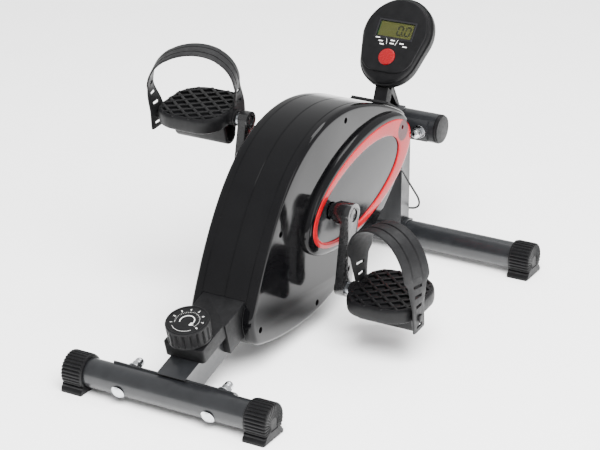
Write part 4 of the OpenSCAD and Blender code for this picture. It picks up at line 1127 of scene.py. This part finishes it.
dial = []
for k in range(8):
    angle = 205 - 230 * k / 7
    bpy.ops.object.text_add()
    number = bpy.context.object
    number.data.body = str(k + 1)
    number.data.size = 4.4 * MM
    number.data.align_x, number.data.align_y = "CENTER", "CENTER"
    number.data.extrude = 0.06 * MM
    bpy.ops.object.convert(target="MESH")
    x, y = on_dial(20.5, angle)
    number.data.transform(Matrix.Translation(Vector((x, y, 25.84)) * MM)
                          @ Matrix.Rotation(math.radians(angle - 90), 4, "Z"))
    settle(number)
    set_down(number, ON_KNOB)
    dial.append(number)
arc = [on_dial(9.5, 210 - 10 * k) for k in range(25)]
dial.append(stroke(arc, 0.9, *DIAL_Z, ON_KNOB))
tip, heading = Vector(on_dial(9.5, -36)), Vector(on_dial(1, -126))
side = Vector((-heading.y, heading.x))
for sign in (-1, 1):
    barb = [tip + heading * 1.5, tip - heading * 3 + side * sign * 2.6]
    dial.append(stroke(barb, 0.9, *DIAL_Z, ON_KNOB))
for k in range(29):
    angle = 205 - 230 * k / 28
    dial.append(stroke([on_dial(15.4, angle), on_dial(16.6, angle)], 0.3, *DIAL_Z, ON_KNOB))
dial.append(stroke([on_dial(20, 225 + 6 * k) for k in range(16)], 0.3, *DIAL_Z, ON_KNOB))
for piece in dial:
    turn_outwards(piece)
dress(join("Knob_dial_print", dial), white_ink, "tension_knob")
print("dial marks:", len(dial))

# %% Knob bracket
softened("knob_bracket", 1.5, "frame")

# %% [markdown]
# ## Foot caps
# Each foot tube ends in a soft black cap. Its skirt carries broad ribs round the barrel, the sole
# is flat and notched, and the outer end is a rounded disc. One cap is made and copied to each end.

# %% Cap outline: a ribbed barrel above, a notched foot below
CAP_R, CAP_L, RIBS, BARREL_STEPS = 22.9, 32.0, 22, 176


def rib_wave(k):
    """1 on a rib and 0 in the narrow groove beside it."""
    return min(1.0, 1.6 * (0.5 - 0.5 * math.cos(2 * math.pi * RIBS * k / BARREL_STEPS)))


def cap_outline(rib, scale):
    """Points round the cap, up over the top from one corner of the sole and back along the sole."""
    result = []
    for k in range(BARREL_STEPS + 1):
        t = math.radians(-38 + 256 * k / BARREL_STEPS)
        radius = CAP_R + rib * (1.7 * rib_wave(k) - 0.8)
        result.append(Vector((radius * math.cos(t), radius * math.sin(t))))
    neck = [(-20.4, -15.5), (-20.6, -17.5), (-23.4, -20.0), (-24, -21.2), (-24, -24.5)]
    result += [Vector(p) for p in neck]
    for middle in (-18, -9, 0, 9, 18):
        for y, z in [(middle - 1.5, 0), (middle - 1.2, 1.5), (middle + 1.2, 1.5), (middle + 1.5, 0)]:
            result.append(Vector((y, -24.5 + z)))
    result += [Vector((-y, z)) for y, z in reversed(neck)]
    centre = Vector((0, -4))
    return [centre + (p - centre) * scale for p in result]


# Distance along, rib share, scale, and how far the ribs run onto the end disc
cap_rings = [(0.0, 0, 0.90, 0), (0.0, 0, 0.965, 0), (0.6, 0, 0.995, 0), (2.4, 0, 1, 0), (3.2, 0.7, 1, 0),
             (4.0, 1, 1, 0), (28.4, 1, 1, 0), (29.8, 0.9, 0.99, 0), (30.9, 0.7, 0.965, 0.3),
             (31.6, 0.4, 0.92, 0.8), (32.0, 0, 0.86, 1.0), (32.0, 0, 0.80, 1.0), (32.0, 0, 0.36, 1.0),
             (31.2, 0, 0.32, 0), (31.2, 0, 0.12, 0)]
cap_sections = [cap_outline(rib, scale) for along, rib, scale, groove in cap_rings]


def cap_point(i, j):
    along, rib, scale, groove = cap_rings[j]
    sunk = groove * (1 - rib_wave(i)) if i <= BARREL_STEPS else 0
    return (along - sunk, *cap_sections[j][i])


cap_around = len(cap_sections[0])
foot_cap = wrapped("foot_cap", cap_point, cap_around, len(cap_rings) - 1)
TUBE_BORE_R = 19.02
cut(foot_cap, rod(TUBE_BORE_R, (-4, 0, 0), (28, 0, 0), 64))
for end, y, half in (("front", FRONT_Y, 150), ("rear", REAR_Y, 227)):
    only(foot_cap)
    bpy.ops.object.duplicate(linked=False)
    right_cap = bpy.context.object
    right_cap.name = end.title() + "_right_cap_ribbed"
    set_down(right_cap, Matrix.Translation(Vector((half - CAP_L, y, FOOT_H)) * MM))
    left_cap = mirrored(right_cap, end.title() + "_left_cap_ribbed")
    for cap, side in ((right_cap, "right"), (left_cap, "left")):
        dress(cap, moulded_black, "frame", (end + "_" + side + "_foot_cap",), 30)
bpy.data.objects.remove(foot_cap)

# %% [markdown]
# ## Frame pieces
# The tubes are cut and welded steel with rolled corners, and the small hardware has worn edges.
# Their CAD copies are merged and given the edge radius that each one has.

# %% Rounded frame pieces
for node, radius in (("main_tube", 3.2), ("rear_post", 3.5), ("front_saddle_plate", 0.5),
                     ("rear_saddle_plate", 0.5), ("cross_tube_saddle_plate", 0.5),
                     ("cap_nuts", 0.4), ("bolt_washers", 0.25), ("console_bracket", 1.0),
                     ("cross_tube_plugs", 1.0)):
    softened(node, radius, "frame")
